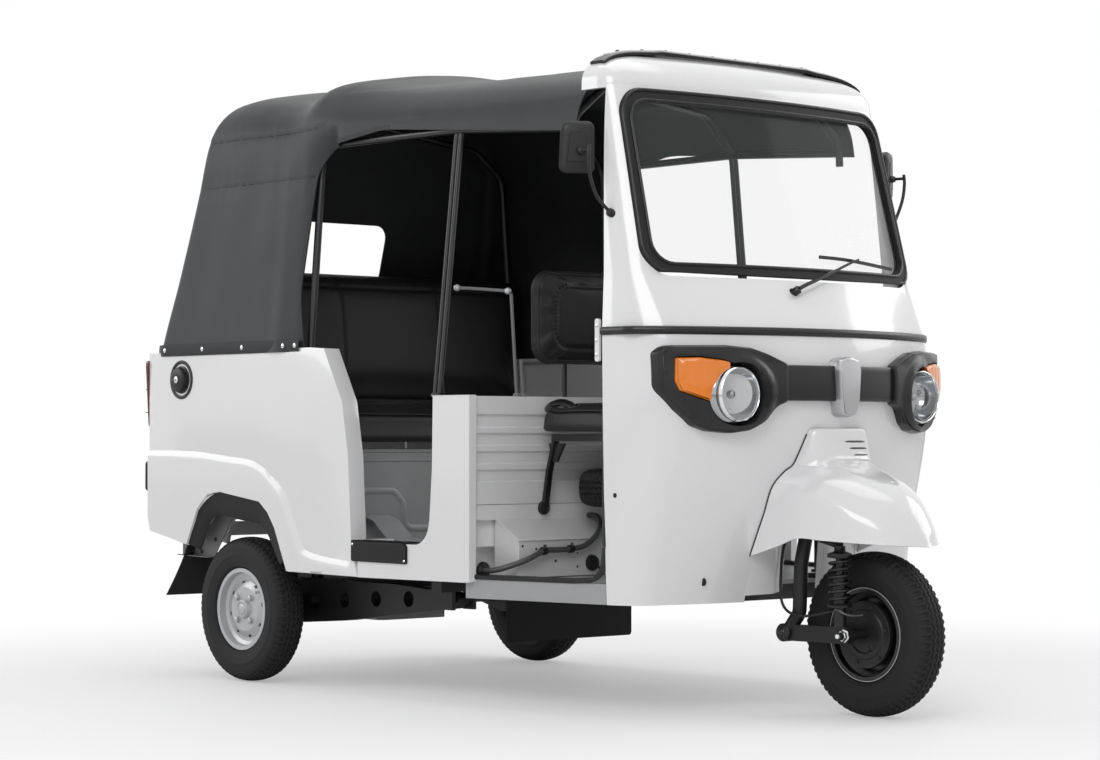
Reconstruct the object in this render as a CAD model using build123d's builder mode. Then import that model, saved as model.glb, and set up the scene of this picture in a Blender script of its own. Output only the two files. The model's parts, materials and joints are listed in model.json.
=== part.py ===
from build123d import *

import os
from math import atan2, cos, pi, radians, sin, sqrt, tan

# Auto rickshaw with a hollow cab, a fabric canopy and three wheels.
# Millimetres. X forward, Y to the left, Z up, the floor at z = 0,
# the origin under the middle of the vehicle.

# Driving dimensions
half_length = 1510.0
front_axle_x = 1230.0
rear_axle_x = -990.0
rear_wheel_y = 641.0
tyre_radius = 242.0
tyre_half_width = 57.5
body_half_width = 720.0
skin = 14.0                      # body panel with its folded edges
cab_wall = 20.0                  # cab wall with its inner lining
cab_bottom_z = 330.0
belt_z = 1125.0
floor_z = 485.0                  # top of the passenger floor
driver_floor_z = 390.0
sheet = 12.0                     # pressed floors, decks and boxes
cloth = 10.0                     # canopy cloth with its hems
frame_tube = 25.0

# Steering axis: it leans back by the rake and meets the floor ahead of the tyre's contact
rake = radians(18.0)
trail = 32.0
steering_foot_x = front_axle_x + trail


def steering_x(z):
    """X of the steering axis at height z."""
    return steering_foot_x - z * tan(rake)


def steering_plane(z):
    """A plane across the steering axis at height z, its normal up along the axis."""
    return Plane(origin=(steering_x(z), 0, z), x_dir=(0, -1, 0), z_dir=(-sin(rake), 0, cos(rake)))


# Cab plan sections: height, front x, half width, radius of the bowed front, corner radius
lower_rows = [
    (330.0, 925.0, 622.0, 2400.0, 105.0),
    (560.0, 998.0, 630.0, 1500.0, 150.0),
    (860.0, 1086.0, 637.0, 1250.0, 190.0),
    (1125.0, 1078.0, 640.0, 1250.0, 205.0),
]
cowl_rows = [
    (1125.0, 1078.0, 640.0, 1250.0, 205.0),
    (1300.0, 945.0, 622.0, 2080.0, 110.0),
]
screen_rows = [
    (1300.0, 945.0, 622.0, 2080.0, 110.0),
    (1860.0, 772.0, 588.0, 3120.0, 60.0),
]
brow_rows = [
    (1860.0, 772.0, 588.0, 3120.0, 60.0),
    (1918.0, 748.0, 570.0, 3400.0, 60.0),
    (1952.0, 706.0, 510.0, 3400.0, 60.0),
    (1974.0, 665.0, 340.0, 3400.0, 40.0),
]
cab_back_x = 745.0
roof_back_x = 600.0


def cab_outline(row, inset=0.0, back=cab_back_x):
    """Plan face of the cab at one height: bowed front, round corners, straight sides."""
    height, front, half, bow, corner = row
    front -= inset
    half -= inset
    bow -= inset
    corner -= inset
    bow_x = front - bow
    corner_y = half - corner
    corner_x = bow_x + sqrt((bow - corner) ** 2 - corner_y ** 2)
    touch_x = bow_x + (corner_x - bow_x) * bow / (bow - corner)
    touch_y = corner_y * bow / (bow - corner)
    middle = (atan2(corner_y, corner_x - bow_x) + pi / 2) / 2
    middle_x = corner_x + corner * cos(middle)
    middle_y = corner_y + corner * sin(middle)
    with BuildSketch(Plane.XY.offset(height)) as outline:
        with BuildLine():
            ThreePointArc((touch_x, -touch_y), (front, 0), (touch_x, touch_y))
            ThreePointArc((touch_x, touch_y), (middle_x, middle_y), (corner_x, half))
            Polyline((corner_x, half), (back, half), (back, -half), (corner_x, -half))
            ThreePointArc((corner_x, -half), (middle_x, -middle_y), (touch_x, -touch_y))
        make_face()
    return outline.sketch.face()


def cab_loft(rows, inset=0.0, back=cab_back_x, mode=Mode.ADD):
    """Loft through cab sections, straight between two and smooth through more."""
    faces = [cab_outline(row, inset, back) for row in rows]
    return loft(sections=faces, ruled=len(rows) == 2, mode=mode)


def profile(plane, points, radius=0.0):
    """A closed face from corner points, its corners rounded."""
    with BuildSketch(plane) as face:
        with BuildLine():
            Polyline(*points, close=True)
        make_face()
        if radius:
            fillet(face.vertices(), radius)
    return face.sketch


def tube(points, diameter, bend):
    """A round bar along straight runs with round bends."""
    with BuildPart() as bar:
        with BuildLine() as path:
            if len(points) == 2:
                Line(*points)
            else:
                FilletPolyline(*points, radius=bend)
        with BuildSketch(Plane(origin=path.line @ 0, z_dir=path.line % 0)):
            Circle(diameter / 2)
        sweep(path=path.line)
    return bar.part


def reach(rows):
    """The same rows with the first and last a little further out, to cut clear through."""
    low, high = rows[0], rows[-1]
    return [(low[0] - 1, *low[1:]), *rows[1:-1], (high[0] + 1, *high[1:])]


inner_lower_rows = reach(lower_rows)

# Cab below the belt
arch_top_z = 800.0
# Outline seen from the front of the guard over the wheel: half width and height, from the top
guard_front = [(104.0, 846.0), (152.0, 727.0), (220.0, 455.0)]
with BuildPart() as cab_lower:
    cab_loft(lower_rows)
    cab_loft(inner_lower_rows, cab_wall, cab_back_x - 60, Mode.SUBTRACT)
    # Arch for the steering column under the front guard
    with BuildSketch(Plane.YZ.offset(800)):
        with BuildLine():
            Polyline((-224, 300), (-224, 455), (-156, 727), (-126, arch_top_z), (126, arch_top_z),
                     (156, 727), (224, 455), (224, 300), close=True)
        make_face()
    extrude(amount=400, mode=Mode.SUBTRACT)

# Cab above the belt: cowl, windscreen frame with its pillars, and roof brow
screen_outer = [(-582, 1288), (582, 1288), (562, 1853), (-562, 1853)]
screen_inner = [(-545, 1330), (545, 1330), (532, 1812), (-532, 1812)]
pillar_back_x = 698.0
pillar_top_z = 1850.0
with BuildPart() as cab_upper:
    cab_loft(cowl_rows, back=roof_back_x)
    cab_loft(screen_rows, back=roof_back_x)
    cab_loft(brow_rows, back=roof_back_x)
    with BuildPart(mode=Mode.PRIVATE) as cab_hollow:
        cab_loft([(cowl_rows[0][0] - 1, *cowl_rows[0][1:]), cowl_rows[1]], cab_wall, roof_back_x - 60)
        cab_loft(screen_rows, cab_wall, roof_back_x - 60)
        lower_brow = [(row[0] - cab_wall, *row[1:]) for row in brow_rows[1:]]
        cab_loft([brow_rows[0], *lower_brow], cab_wall, roof_back_x - 60)
    add(cab_hollow.part, mode=Mode.SUBTRACT)
    add(extrude(profile(Plane.YZ.offset(650), screen_outer, 85), amount=500, mode=Mode.PRIVATE),
        mode=Mode.SUBTRACT)
    # Doorways: the cab ends at the pillars below the roof
    with BuildSketch(Plane.XZ):
        with BuildLine():
            Polyline((500, belt_z - 5), (cab_back_x, belt_z - 5), (pillar_back_x, pillar_top_z),
                     (500, pillar_top_z), close=True)
        make_face()
    extrude(amount=700, both=True, mode=Mode.SUBTRACT)

# Windscreen and its rubber seal, bent to the cab's front
with BuildPart() as windscreen:
    cab_loft(screen_rows, 9.0, roof_back_x)
    cab_loft(reach(screen_rows), 14.0, roof_back_x - 60, Mode.SUBTRACT)
    add(extrude(profile(Plane.YZ.offset(650), [(-560, 1315), (560, 1315), (545, 1826), (-545, 1826)], 65),
                amount=500, mode=Mode.PRIVATE), mode=Mode.INTERSECT)

with BuildPart() as windscreen_seal:
    cab_loft(screen_rows, -6.0, roof_back_x)
    cab_loft(reach(screen_rows), cab_wall, roof_back_x - 60, Mode.SUBTRACT)
    add(extrude(profile(Plane.YZ.offset(650), screen_outer, 85), amount=500, mode=Mode.PRIVATE),
        mode=Mode.INTERSECT)
    add(extrude(profile(Plane.YZ.offset(650), screen_inner, 60), amount=500, mode=Mode.PRIVATE),
        mode=Mode.SUBTRACT)
    add(windscreen.part, mode=Mode.SUBTRACT)

# Front guard: skirts that close the cab's arch, a raised panel, and a dome over the wheel
guard_edge = 6.0
guard_side = [(1240, 506), (1180, 500), (955, 462), (985, 560), (1030, 700), (1062, 799), (1090, 799),
              (1092, 846), (1106, 846), (1122, 752), (1150, 728), (1240, 600)]
guard_hollow = [(1230, 300), (1230, 600), (1145, 722), (1114, 748), (1100, 839), (800, 839), (800, 300)]
# Fanned sections of the dome: tilt from level, reach forward, half width, length of the round nose
dome_x = 1085.0
dome_z = 515.0
dome_start = 60.0
dome_rows = [
    (-4.0, 345.0, 222.0, 150.0),
    (22.0, 318.0, 214.0, 140.0),
    (50.0, 262.0, 190.0, 120.0),
    (84.0, 232.0, 156.0, 100.0),
    (110.0, 240.0, 140.0, 90.0),
]


def guard_form(side_points, inset, low_z):
    """The skirts and raised panel, between a side outline and a front outline."""
    half = guard_front[-1][0] - inset
    front_points = [(-y + inset, z) for y, z in guard_front] + [(-half, low_z), (half, low_z)]
    front_points += [(y - inset, z) for y, z in reversed(guard_front)]
    with BuildPart() as form:
        add(extrude(profile(Plane.XZ, side_points), amount=300, both=True, mode=Mode.PRIVATE))
        add(extrude(profile(Plane.YZ.offset(700), front_points), amount=900, mode=Mode.PRIVATE),
            mode=Mode.INTERSECT)
    return form.part


def dome_section(row, inset):
    """A section of the dome: straight sides and a round nose, on a plane tilted up about the wheel."""
    tilt, depth, half, nose = row
    turn = radians(tilt)
    depth -= inset
    half -= inset
    plane = Plane(origin=(dome_x, 0, dome_z), x_dir=(cos(turn), 0, sin(turn)), z_dir=(-sin(turn), 0, cos(turn)))
    with BuildSketch(plane) as section:
        with BuildLine():
            Polyline((depth - nose, half), (dome_start, half), (dome_start, -half), (depth - nose, -half))
            ThreePointArc((depth - nose, -half), (depth, 0), (depth - nose, half))
        make_face()
    return section.sketch.face()


def dome_form(inset):
    """The dome, or the hollow in it."""
    return loft(sections=[dome_section(row, inset) for row in dome_rows], mode=Mode.PRIVATE)


with BuildPart() as front_guard:
    add(guard_form(guard_side, 0, 440))
    add(dome_form(0))
    add(guard_form(guard_hollow, guard_edge, 290), mode=Mode.SUBTRACT)
    with BuildPart(mode=Mode.PRIVATE) as dome_hollow:
        add(dome_form(guard_edge))
        extrude(faces().sort_by(Axis.Z)[0], amount=80)
    add(dome_hollow.part, mode=Mode.SUBTRACT)

# Lamp band across the nose with a pod at each end, lamps and indicators
lamp_y = 398.0
lamp_z = 943.0
lamp_hole_radius = 82.0
pod_proud = 36.0
band_proud = 22.0
seat_gap = 0.5
front_plane = Plane.YZ.offset(600)


def cab_band(inset, depth, outline):
    """The layer of the lower cab's wall between two insets, inside an outline seen from the front."""
    with BuildPart() as band:
        cab_loft(lower_rows, inset)
        cab_loft(inner_lower_rows, inset + depth, cab_back_x - 60, Mode.SUBTRACT)
        add(extrude(outline, amount=700, mode=Mode.PRIVATE), mode=Mode.INTERSECT)
    return band.part


pod_points = [(236, 921), (236, 1033), (301, 1062), (350, 1077), (430, 1084), (592, 1084), (602, 1066),
              (602, 958), (560, 898), (514, 852), (471, 837), (408, 831), (352, 838), (308, 860),
              (275, 894)]
band_points = [(-238, 923), (238, 923), (238, 1032), (-238, 1032)]
indicator_points = [(574, 1052), (574, 975), (563, 949), (449, 913), (415, 913), (415, 1030),
                    (449, 1048), (514, 1053)]
with BuildPart() as headlamp_housings:
    add(cab_band(-pod_proud, pod_proud - seat_gap, profile(front_plane, pod_points, 8)))
    mirror(about=Plane.XZ)
    add(cab_band(-band_proud, band_proud - seat_gap, profile(front_plane, band_points)))
    for side in (-1, 1):
        with Locations(Plane(origin=(950, side * lamp_y, lamp_z), z_dir=(1, 0, 0))):
            Cylinder(lamp_hole_radius, 500, mode=Mode.SUBTRACT)
        add(extrude(profile(front_plane, [(side * y, z) for y, z in indicator_points], 6), amount=700,
                    mode=Mode.PRIVATE), mode=Mode.SUBTRACT)

with BuildPart() as headlamps:
    with BuildSketch(Plane(origin=(0, lamp_y, lamp_z), x_dir=(1, 0, 0), z_dir=(0, -1, 0))):
        with BuildLine():
            Polyline((1092, 0), (1114, 0))
            ThreePointArc((1114, 0), (1106, 42), (1088, 72))
            Polyline((1088, 72), (1070, 72), (1070, 60), (1092, 0))
        make_face()
    revolve(axis=Axis((0, lamp_y, lamp_z), (1, 0, 0)))
    cab_loft(lower_rows, -seat_gap, mode=Mode.SUBTRACT)
    mirror(about=Plane.XZ)

with BuildPart() as indicators:
    add(cab_band(-pod_proud + 4, pod_proud - 4 - seat_gap, profile(front_plane, indicator_points, 9)))
    with Locations(Plane(origin=(950, lamp_y, lamp_z), z_dir=(1, 0, 0))):
        Cylinder(lamp_hole_radius - 4, 500, mode=Mode.SUBTRACT)
    mirror(about=Plane.XZ)

# Bare shield between the lamps, over the band
shield_points = [(-44, 920), (-50, 1030), (-34, 1052), (0, 1060), (34, 1052), (50, 1030), (44, 920),
                 (30, 882), (0, 876), (-30, 882)]
with BuildPart() as nose_shield:
    add(cab_band(-46, 45, profile(front_plane, shield_points, 8)))
    with BuildPart(mode=Mode.PRIVATE) as band_room:
        cab_loft(lower_rows, -band_proud - seat_gap)
        with Locations((900, 0, (band_points[0][1] + band_points[2][1]) / 2)):
            Box(800, 400, band_points[2][1] - band_points[0][1] + 2, mode=Mode.INTERSECT)
    add(band_room.part, mode=Mode.SUBTRACT)

# Wiper: pivot on the cowl, arm and blade resting along the glass
with BuildPart() as wiper:
    add(tube([(985, -80, 1255), (1005, -80, 1262), (985, -150, 1325), (958, -215, 1345)], 10, 8))
    add(tube([(1000, -80, 1260), (1010, 180, 1290), (985, 250, 1320)], 8, 60))

# Mirrors on the front pillars: arm and head
with BuildPart() as mirrors:
    add(tube([(775, -625, 1475), (795, -690, 1500), (800, -700, 1610), (800, -712, 1700)], 12, 25))
    with Locations(Location((806, -712, 1745), (0, 0, 0))):
        Box(26, 120, 170)
        fillet(edges().filter_by(Axis.X).group_by(Axis.Z)[-1], 30)
    mirror(about=Plane.XZ)

# Floors: the driver's floor with its lips, the raised passenger floor and the riser between
riser_x = 200.0
wheelhouse_y = 545.0
passenger_floor_back_x = -628.0
with BuildPart() as floor_pan:
    with BuildSketch(Plane.XZ):
        with BuildLine():
            Polyline((passenger_floor_back_x, floor_z - sheet), (riser_x - sheet, floor_z - sheet),
                     (riser_x - sheet, driver_floor_z - sheet), (riser_x + 1, driver_floor_z - sheet),
                     (riser_x + 1, driver_floor_z), (riser_x, driver_floor_z), (riser_x, floor_z),
                     (passenger_floor_back_x, floor_z), close=True)
        make_face()
    extrude(amount=wheelhouse_y - 1, both=True)
    add(cab_outline((driver_floor_z - sheet, *lower_rows[0][1:]), 21, riser_x))
    extrude(amount=sheet)
    # Edge of the driver's floor, running in towards the cab
    with BuildSketch(Plane.XY.offset(cab_bottom_z)):
        with BuildLine():
            Polyline((riser_x, 590), (riser_x, 700), (740, 620), (740, 590), close=True)
        make_face()
        mirror(about=Plane.XZ)
    extrude(amount=driver_floor_z - cab_bottom_z)

# Sills with the panels behind the driver's doorway
with BuildPart() as side_sills:
    with BuildSketch(Plane.XZ.offset(body_half_width - skin)):
        with BuildLine():
            Polyline((-310, 375), (232, 378), (232, 945), (65, 945), (61, 717), (43, 486), (-310, 486),
                     close=True)
        make_face()
    extrude(amount=skin)
    with BuildSketch(Plane.XZ.offset(wheelhouse_y)):
        with Locations((-65, 436)):
            Rectangle(490, 98)
    extrude(amount=body_half_width - skin - wheelhouse_y)
    mirror(about=Plane.XZ)

# Rubber step pads under the passenger doorways
with BuildPart() as step_pads:
    with BuildSketch(Plane.XZ.offset(body_half_width)):
        with Locations((-172, 458)):
            RectangleRounded(330, 62, 10)
    extrude(amount=8)
    mirror(about=Plane.XZ)

# Rear body side: outer skin with the wheel arch, wheelhouse wall and deck
quarter_top_z = 1110.0
deck_z = 790.0
rear_x = -1490.0
with BuildPart() as quarter_panel_right:
    with BuildSketch(Plane.XZ.offset(wheelhouse_y)):
        with BuildLine():
            Polyline((rear_x, quarter_top_z), (rear_x, 540), (-1475, 493), (-1253, 451))
            ThreePointArc((-1253, 451), (-1190, 572), (-1065, 635))
            Line((-1065, 635), (-830, 605))
            ThreePointArc((-830, 605), (-752, 535), (-696, 415))
            Polyline((-696, 415), (-679, 380), (-312, 376), (-344, 484), (-361, 761), (-393, 933),
                     (-489, 1105), (-560, 1110), (rear_x, quarter_top_z))
        make_face()
    extrude(amount=body_half_width - wheelhouse_y)
    # Hollow for the wheel, open below
    with BuildSketch(Plane.XZ.offset(wheelhouse_y + sheet)):
        with BuildLine():
            Polyline((-1460, 300), (-1460, deck_z - sheet), (-600, deck_z - sheet), (-600, 300), close=True)
        make_face()
    extrude(amount=body_half_width - skin - wheelhouse_y - sheet, mode=Mode.SUBTRACT)
    # Hollow under the top edge, open towards the cabin
    with BuildSketch(Plane.XZ.offset(wheelhouse_y - 1)):
        with BuildLine():
            Polyline((-1476, deck_z), (-1476, quarter_top_z - sheet), (-580, quarter_top_z - sheet),
                     (-500, 1085), (-410, 925), (-378, 755), (-370, 500), (-560, 500), (-560, deck_z),
                     close=True)
        make_face()
    extrude(amount=body_half_width - skin - wheelhouse_y + 1, mode=Mode.SUBTRACT)
    with BuildSketch(Plane.XZ.offset(wheelhouse_y - 1)):
        with Locations((-1025, 1000)):
            Rectangle(902, 300)
    extrude(amount=body_half_width - 40 - wheelhouse_y + 1, mode=Mode.SUBTRACT)

with BuildPart() as quarter_panel_left:
    mirror(quarter_panel_right.part, about=Plane.XZ)

# Tail: rear panel with the engine opening, and the luggage deck above it
lid_half = 420.0
lid_low_z = 520.0
lid_high_z = 840.0
plate_z = 930.0
plate_spacing = 200.0
plate_hole_radius = 3.5
with BuildPart() as tail_panel:
    with BuildSketch(Plane.YZ.offset(rear_x)):
        with BuildLine():
            Polyline((-wheelhouse_y, 470), (wheelhouse_y, 470), (wheelhouse_y, quarter_top_z),
                     (-wheelhouse_y, quarter_top_z), close=True)
        make_face()
        with Locations((0, (lid_low_z + lid_high_z) / 2)):
            Rectangle(2 * lid_half, lid_high_z - lid_low_z, mode=Mode.SUBTRACT)
    extrude(amount=skin)
    with BuildSketch(Plane.XZ):
        with Locations(((rear_x + skin - 1170) / 2, quarter_top_z - sheet / 2)):
            Rectangle(-1170 - rear_x - skin, sheet)
    extrude(amount=body_half_width - 41, both=True)
    # Two holes for the rear plate
    with Locations(Plane(origin=(rear_x, 0, plate_z), z_dir=(-1, 0, 0))):
        with GridLocations(1, plate_spacing, 1, 2):
            Hole(plate_hole_radius, depth=2 * skin)

lid_gap = 6.0
lid_depth = 16.0
with BuildPart() as engine_lid:
    with BuildSketch(Plane.YZ.offset(rear_x - 6)):
        with Locations((0, (lid_low_z + lid_high_z) / 2 - 1)):
            RectangleRounded(2 * (lid_half - lid_gap), lid_high_z - lid_low_z - 2 * lid_gap - 2, 18)
        # Louvres
        with Locations((0, 640)):
            with GridLocations(0, 30, 1, 5):
                SlotOverall(520, 12, mode=Mode.SUBTRACT)
    extrude(amount=lid_depth)

# Tail lamps at the rear corners and the rubber blocks below them
with BuildPart() as tail_lamps:
    with BuildSketch(Plane.YZ.offset(rear_x - 18)):
        with Locations((-650, 970)):
            RectangleRounded(110, 238, 14)
    extrude(amount=18)
    mirror(about=Plane.XZ)

with BuildPart() as bumper_blocks:
    with BuildSketch(Plane.YZ.offset(-half_length)):
        with Locations((-640, 684)):
            RectangleRounded(130, 104, 14)
    extrude(amount=half_length + rear_x)
    mirror(about=Plane.XZ)

# Fuel cap on the right side
with BuildPart() as fuel_cap:
    with BuildSketch(Plane.XZ.offset(body_half_width)):
        with Locations((-1294, 1016)):
            Circle(50)
    extrude(amount=14)
    fillet(edges().filter_by(GeomType.CIRCLE).sort_by(Axis.Y)[0], 4)

# Mudflaps behind the rear wheels
with BuildPart() as mudflaps:
    with BuildSketch(Plane.YZ.offset(-1330)):
        with Locations((-632, 350)):
            RectangleRounded(136, 300, 10)
    extrude(amount=10)
    mirror(about=Plane.XZ)

# Bulkhead behind the driver with raised ribs
with BuildPart() as partition:
    with BuildSketch(Plane.YZ.offset(riser_x)):
        with Locations((0, (floor_z + 945) / 2)):
            Rectangle(1396, 945 - floor_z)
    extrude(amount=sheet)
    with BuildSketch(Plane.YZ.offset(riser_x + sheet)):
        with Locations((0, 757)):
            with GridLocations(0, 65, 1, 4):
                SlotOverall(1240, 22)
    extrude(amount=8)

# Driver's seat: tray on legs, cushion and backrest on a tube frame
seat_tray_z = 800.0
with BuildPart() as driver_seat_frame:
    with BuildSketch(Plane.XY.offset(seat_tray_z)):
        with Locations((465, 0)):
            RectangleRounded(370, 880, 30)
    extrude(amount=28)
    for x in (345, 620):
        for y in (-415, 415):
            add(tube([(x, y, driver_floor_z), (x, y, seat_tray_z + 5)], frame_tube, 0))

with BuildPart() as driver_cushion:
    with BuildSketch(Plane.XY.offset(seat_tray_z + 30)):
        with Locations((465, 0)):
            RectangleRounded(400, 900, 50)
    extrude(amount=85)
    fillet(faces().sort_by(Axis.Z)[-1].edges(), 25)

with BuildPart() as driver_backrest:
    with BuildSketch(Plane.YZ.offset(225)):
        with Locations((0, 1192)):
            RectangleRounded(950, 305, 70)
    extrude(amount=55)
    fillet(faces().sort_by(Axis.X)[-1].edges(), 20)

with BuildPart() as backrest_frame:
    for y in (-300, 300):
        add(tube([(206, y, 945.5), (206, y, 1300)], 16, 0))
    add(tube([(206, -420, 1120), (206, 420, 1120)], 16, 0))

with BuildPart() as spare_wheel:
    with BuildSketch(Plane(origin=(465, -150, 0), x_dir=(1, 0, 0), z_dir=(0, -1, 0))):
        with BuildLine():
            Polyline((128, 615), (138, 612), (142, 607))
            ThreePointArc((142, 607), (190, 604), (230, 616))
            ThreePointArc((230, 616), (242, 662), (230, 708))
            ThreePointArc((230, 708), (190, 720), (142, 717))
            Polyline((142, 717), (138, 712), (128, 709), (108, 680), (20, 680), (20, 672), (104, 672),
                     (128, 615))
        make_face()
    revolve(axis=Axis((465, -150, 0), (0, 0, 1)))

with BuildPart() as equipment_box:
    with BuildSketch(Plane.XZ.offset(350)):
        with BuildLine():
            Polyline((213, 392), (310, 392), (310, 510), (262, 565), (213, 580), close=True)
        make_face()
    extrude(amount=250)

# Passenger seat
with BuildPart() as passenger_seat_box:
    with BuildSketch(Plane.YZ.offset(passenger_floor_back_x - sheet - 0.2)):
        with BuildLine():
            Polyline((-540, floor_z - sheet), (540, floor_z - sheet), (540, deck_z - 10),
                     (-540, deck_z - 10), close=True)
        make_face()
    extrude(amount=sheet)
    with BuildSketch(Plane.XZ):
        with Locations((-900, deck_z - 16)):
            Rectangle(520, sheet)
    extrude(amount=540, both=True)

with BuildPart() as passenger_cushion:
    with BuildSketch(Plane.XY.offset(deck_z + 5)):
        with Locations((-850, 0)):
            RectangleRounded(540, 1320, 60)
    extrude(amount=125)
    fillet(faces().sort_by(Axis.Z)[-1].edges(), 30)

with BuildPart() as passenger_backrest:
    with BuildSketch(Plane.XZ):
        with BuildLine():
            Polyline((-1140, 925), (-1020, 925), (-1075, 1400), (-1165, 1400), close=True)
        make_face()
    extrude(amount=620, both=True)
    fillet(edges().filter_by(Axis.Y).group_by(Axis.Z)[-1], 30)

# Canopy cross-sections: x, crown height, half width at the belt, at the rail and at the shoulder
canopy_rows = [
    (-1500.0, 2020.0, 740.0, 650.0, 500.0),
    (-1130.0, 2042.0, 740.0, 652.0, 505.0),
    (-820.0, 2018.0, 740.0, 650.0, 500.0),
    (-640.0, 2048.0, 738.0, 648.0, 505.0),
    (-300.0, 2014.0, 733.0, 642.0, 500.0),
    (600.0, 1976.0, 716.0, 612.0, 480.0),
]
canopy_low_z = 1112.0


def canopy_section(row, inset):
    """One arch of the canopy: slanted sides, round shoulders and a crowned top."""
    x, crown, belt_y, rail_y, shoulder_y = row
    rail_z = crown - 250 - inset * 0.3
    shoulder_z = crown - 62 - inset
    middle = (rail_y + shoulder_y) / 2 + 32 - inset
    with BuildSketch(Plane.YZ.offset(x)) as arch:
        with BuildLine():
            Polyline((-shoulder_y, 900), (-belt_y + inset, 900), (-rail_y + inset, rail_z))
            ThreePointArc((-rail_y + inset, rail_z), (-middle, (rail_z + shoulder_z) / 2 + 32),
                          (-shoulder_y, shoulder_z))
            ThreePointArc((-shoulder_y, shoulder_z), (0, crown - inset), (shoulder_y, shoulder_z))
            ThreePointArc((shoulder_y, shoulder_z), (middle, (rail_z + shoulder_z) / 2 + 32),
                          (rail_y - inset, rail_z))
            Polyline((rail_y - inset, rail_z), (belt_y - inset, 900), (-shoulder_y, 900))
        make_face()
    return arch.sketch.face()


with BuildPart() as canopy:
    loft(sections=[canopy_section(row, 0) for row in canopy_rows], ruled=True)
    with BuildPart(mode=Mode.PRIVATE) as canopy_hollow:
        loft(sections=[canopy_section(row, cloth) for row in canopy_rows], ruled=True)
        with BuildSketch(Plane.XZ):
            with BuildLine():
                Polyline((-1443, 900), (-1443, 1112), (-1289, 1676), (-1260, 1828))
                ThreePointArc((-1260, 1828), (-1236, 1960), (-1146, 2031))
                Polyline((-1146, 2031), (-1080, 2100), (700, 2100), (700, 900), (-1443, 900))
            make_face()
        extrude(amount=800, both=True, mode=Mode.INTERSECT)
    with BuildSketch(Plane.XZ):
        with BuildLine():
            Polyline((599.5, 2100), (599.5, canopy_low_z), (-1454, canopy_low_z), (-1300, 1673),
                     (-1271, 1830))
            ThreePointArc((-1271, 1830), (-1246, 1968), (-1150, 2041))
            Polyline((-1150, 2041), (-1080, 2110), (599.5, 2110), (599.5, 2100))
        make_face()
    extrude(amount=800, both=True, mode=Mode.INTERSECT)
    add(canopy_hollow.part, mode=Mode.SUBTRACT)
    # Side openings
    with BuildSketch(Plane.XZ):
        with BuildLine():
            Polyline((-612, 1000), (-645, 1293), (-599, 1678), (-546, 1765), (-273, 1795), (760, 1712),
                     (760, 1000), (-612, 1000))
        make_face()
    extrude(amount=800, both=True, mode=Mode.SUBTRACT)
    # Rear window
    with BuildSketch(Plane.YZ.offset(-1600)):
        with Locations((0, 1480)):
            RectangleRounded(400, 220, 50)
    extrude(amount=400, mode=Mode.SUBTRACT)

# Canopy frame: hoops, side rails and the twin pillars behind the driver
# Columns: x, crown height, foot height, foot y, y at the side rail
hoop_rows = [
    (-1165.0, 1935.0, 1112.0, 672.0, 618.0),
    (-620.0, 1985.0, 1112.0, 672.0, 622.0),
    (70.0, 1962.0, 947.0, 676.0, 606.0),
    (560.0, 1938.0, 1700.0, 586.0, 584.0),
]
side_rail_z = 1745.0
with BuildPart() as canopy_frame:
    for x, crown, foot_z, foot_y, side_y in hoop_rows:
        half_hoop = [(foot_y, foot_z), (side_y, side_rail_z), (side_y - 130, crown - 60)]
        points = [(x, -y, z) for y, z in half_hoop] + [(x, 0, crown)]
        points += [(x, y, z) for y, z in reversed(half_hoop)]
        add(tube(points, frame_tube, 80))
    for side in (-1, 1):
        add(tube([(-620, side * 622, side_rail_z), (70, side * 606, side_rail_z), (560, side * 585, 1712)],
                 frame_tube, 200))
        add(tube([(130, side * 676, 947), (130, side * 604, side_rail_z)], frame_tube, 0))

# Chassis: two rails with cross-members, pivots for the rear arms and a towing eye
rail_y = 300.0
rail_low_z = 328.0
rail_high_z = driver_floor_z - sheet
arm_y = 450.0
arm_pivot_x = -130.0
arm_pivot_z = 300.0
tow_eye_x = -1432.0
tow_eye_z = 352.0
tow_eye_radius = 14.0
tow_plate = 16.0
# Columns: x of the middle, width along x, half width, low and top height
cross_rows = [
    (825.0, 50.0, 420.0, rail_low_z, rail_high_z),
    (230.0, 50.0, 540.0, rail_low_z, rail_high_z),
    (arm_pivot_x, 50.0, 544.0, rail_low_z, floor_z - sheet),
    (-615.0, 50.0, 544.0, 356.0, floor_z - sheet),
    (-1360.0, 50.0, 540.0, rail_low_z, rail_high_z),
]
with BuildPart() as chassis_frame:
    with BuildSketch(Plane.XY.offset(rail_low_z)):
        with Locations((-267, rail_y), (-267, -rail_y)):
            Rectangle(2236, 44)
    extrude(amount=rail_high_z - rail_low_z)
    for x, width, half, low, top in cross_rows:
        with BuildSketch(Plane.XY.offset(low)):
            with Locations((x, 0)):
                Rectangle(width, 2 * half)
        extrude(amount=top - low)
    # Forks that hold the rear arms' pivots
    with BuildSketch(Plane.XY.offset(arm_pivot_z - 30)):
        for y in (-arm_y, arm_y):
            with Locations((arm_pivot_x, y - 43), (arm_pivot_x, y + 43)):
                Rectangle(50, 14)
    extrude(amount=rail_low_z - arm_pivot_z + 32)
    with BuildSketch(Plane.XZ.offset(-tow_plate / 2)):
        with Locations((-1418, tow_eye_z)):
            Rectangle(80, 48)
        with Locations((tow_eye_x, tow_eye_z)):
            Circle(tow_eye_radius, mode=Mode.SUBTRACT)
    extrude(amount=tow_plate)

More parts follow.
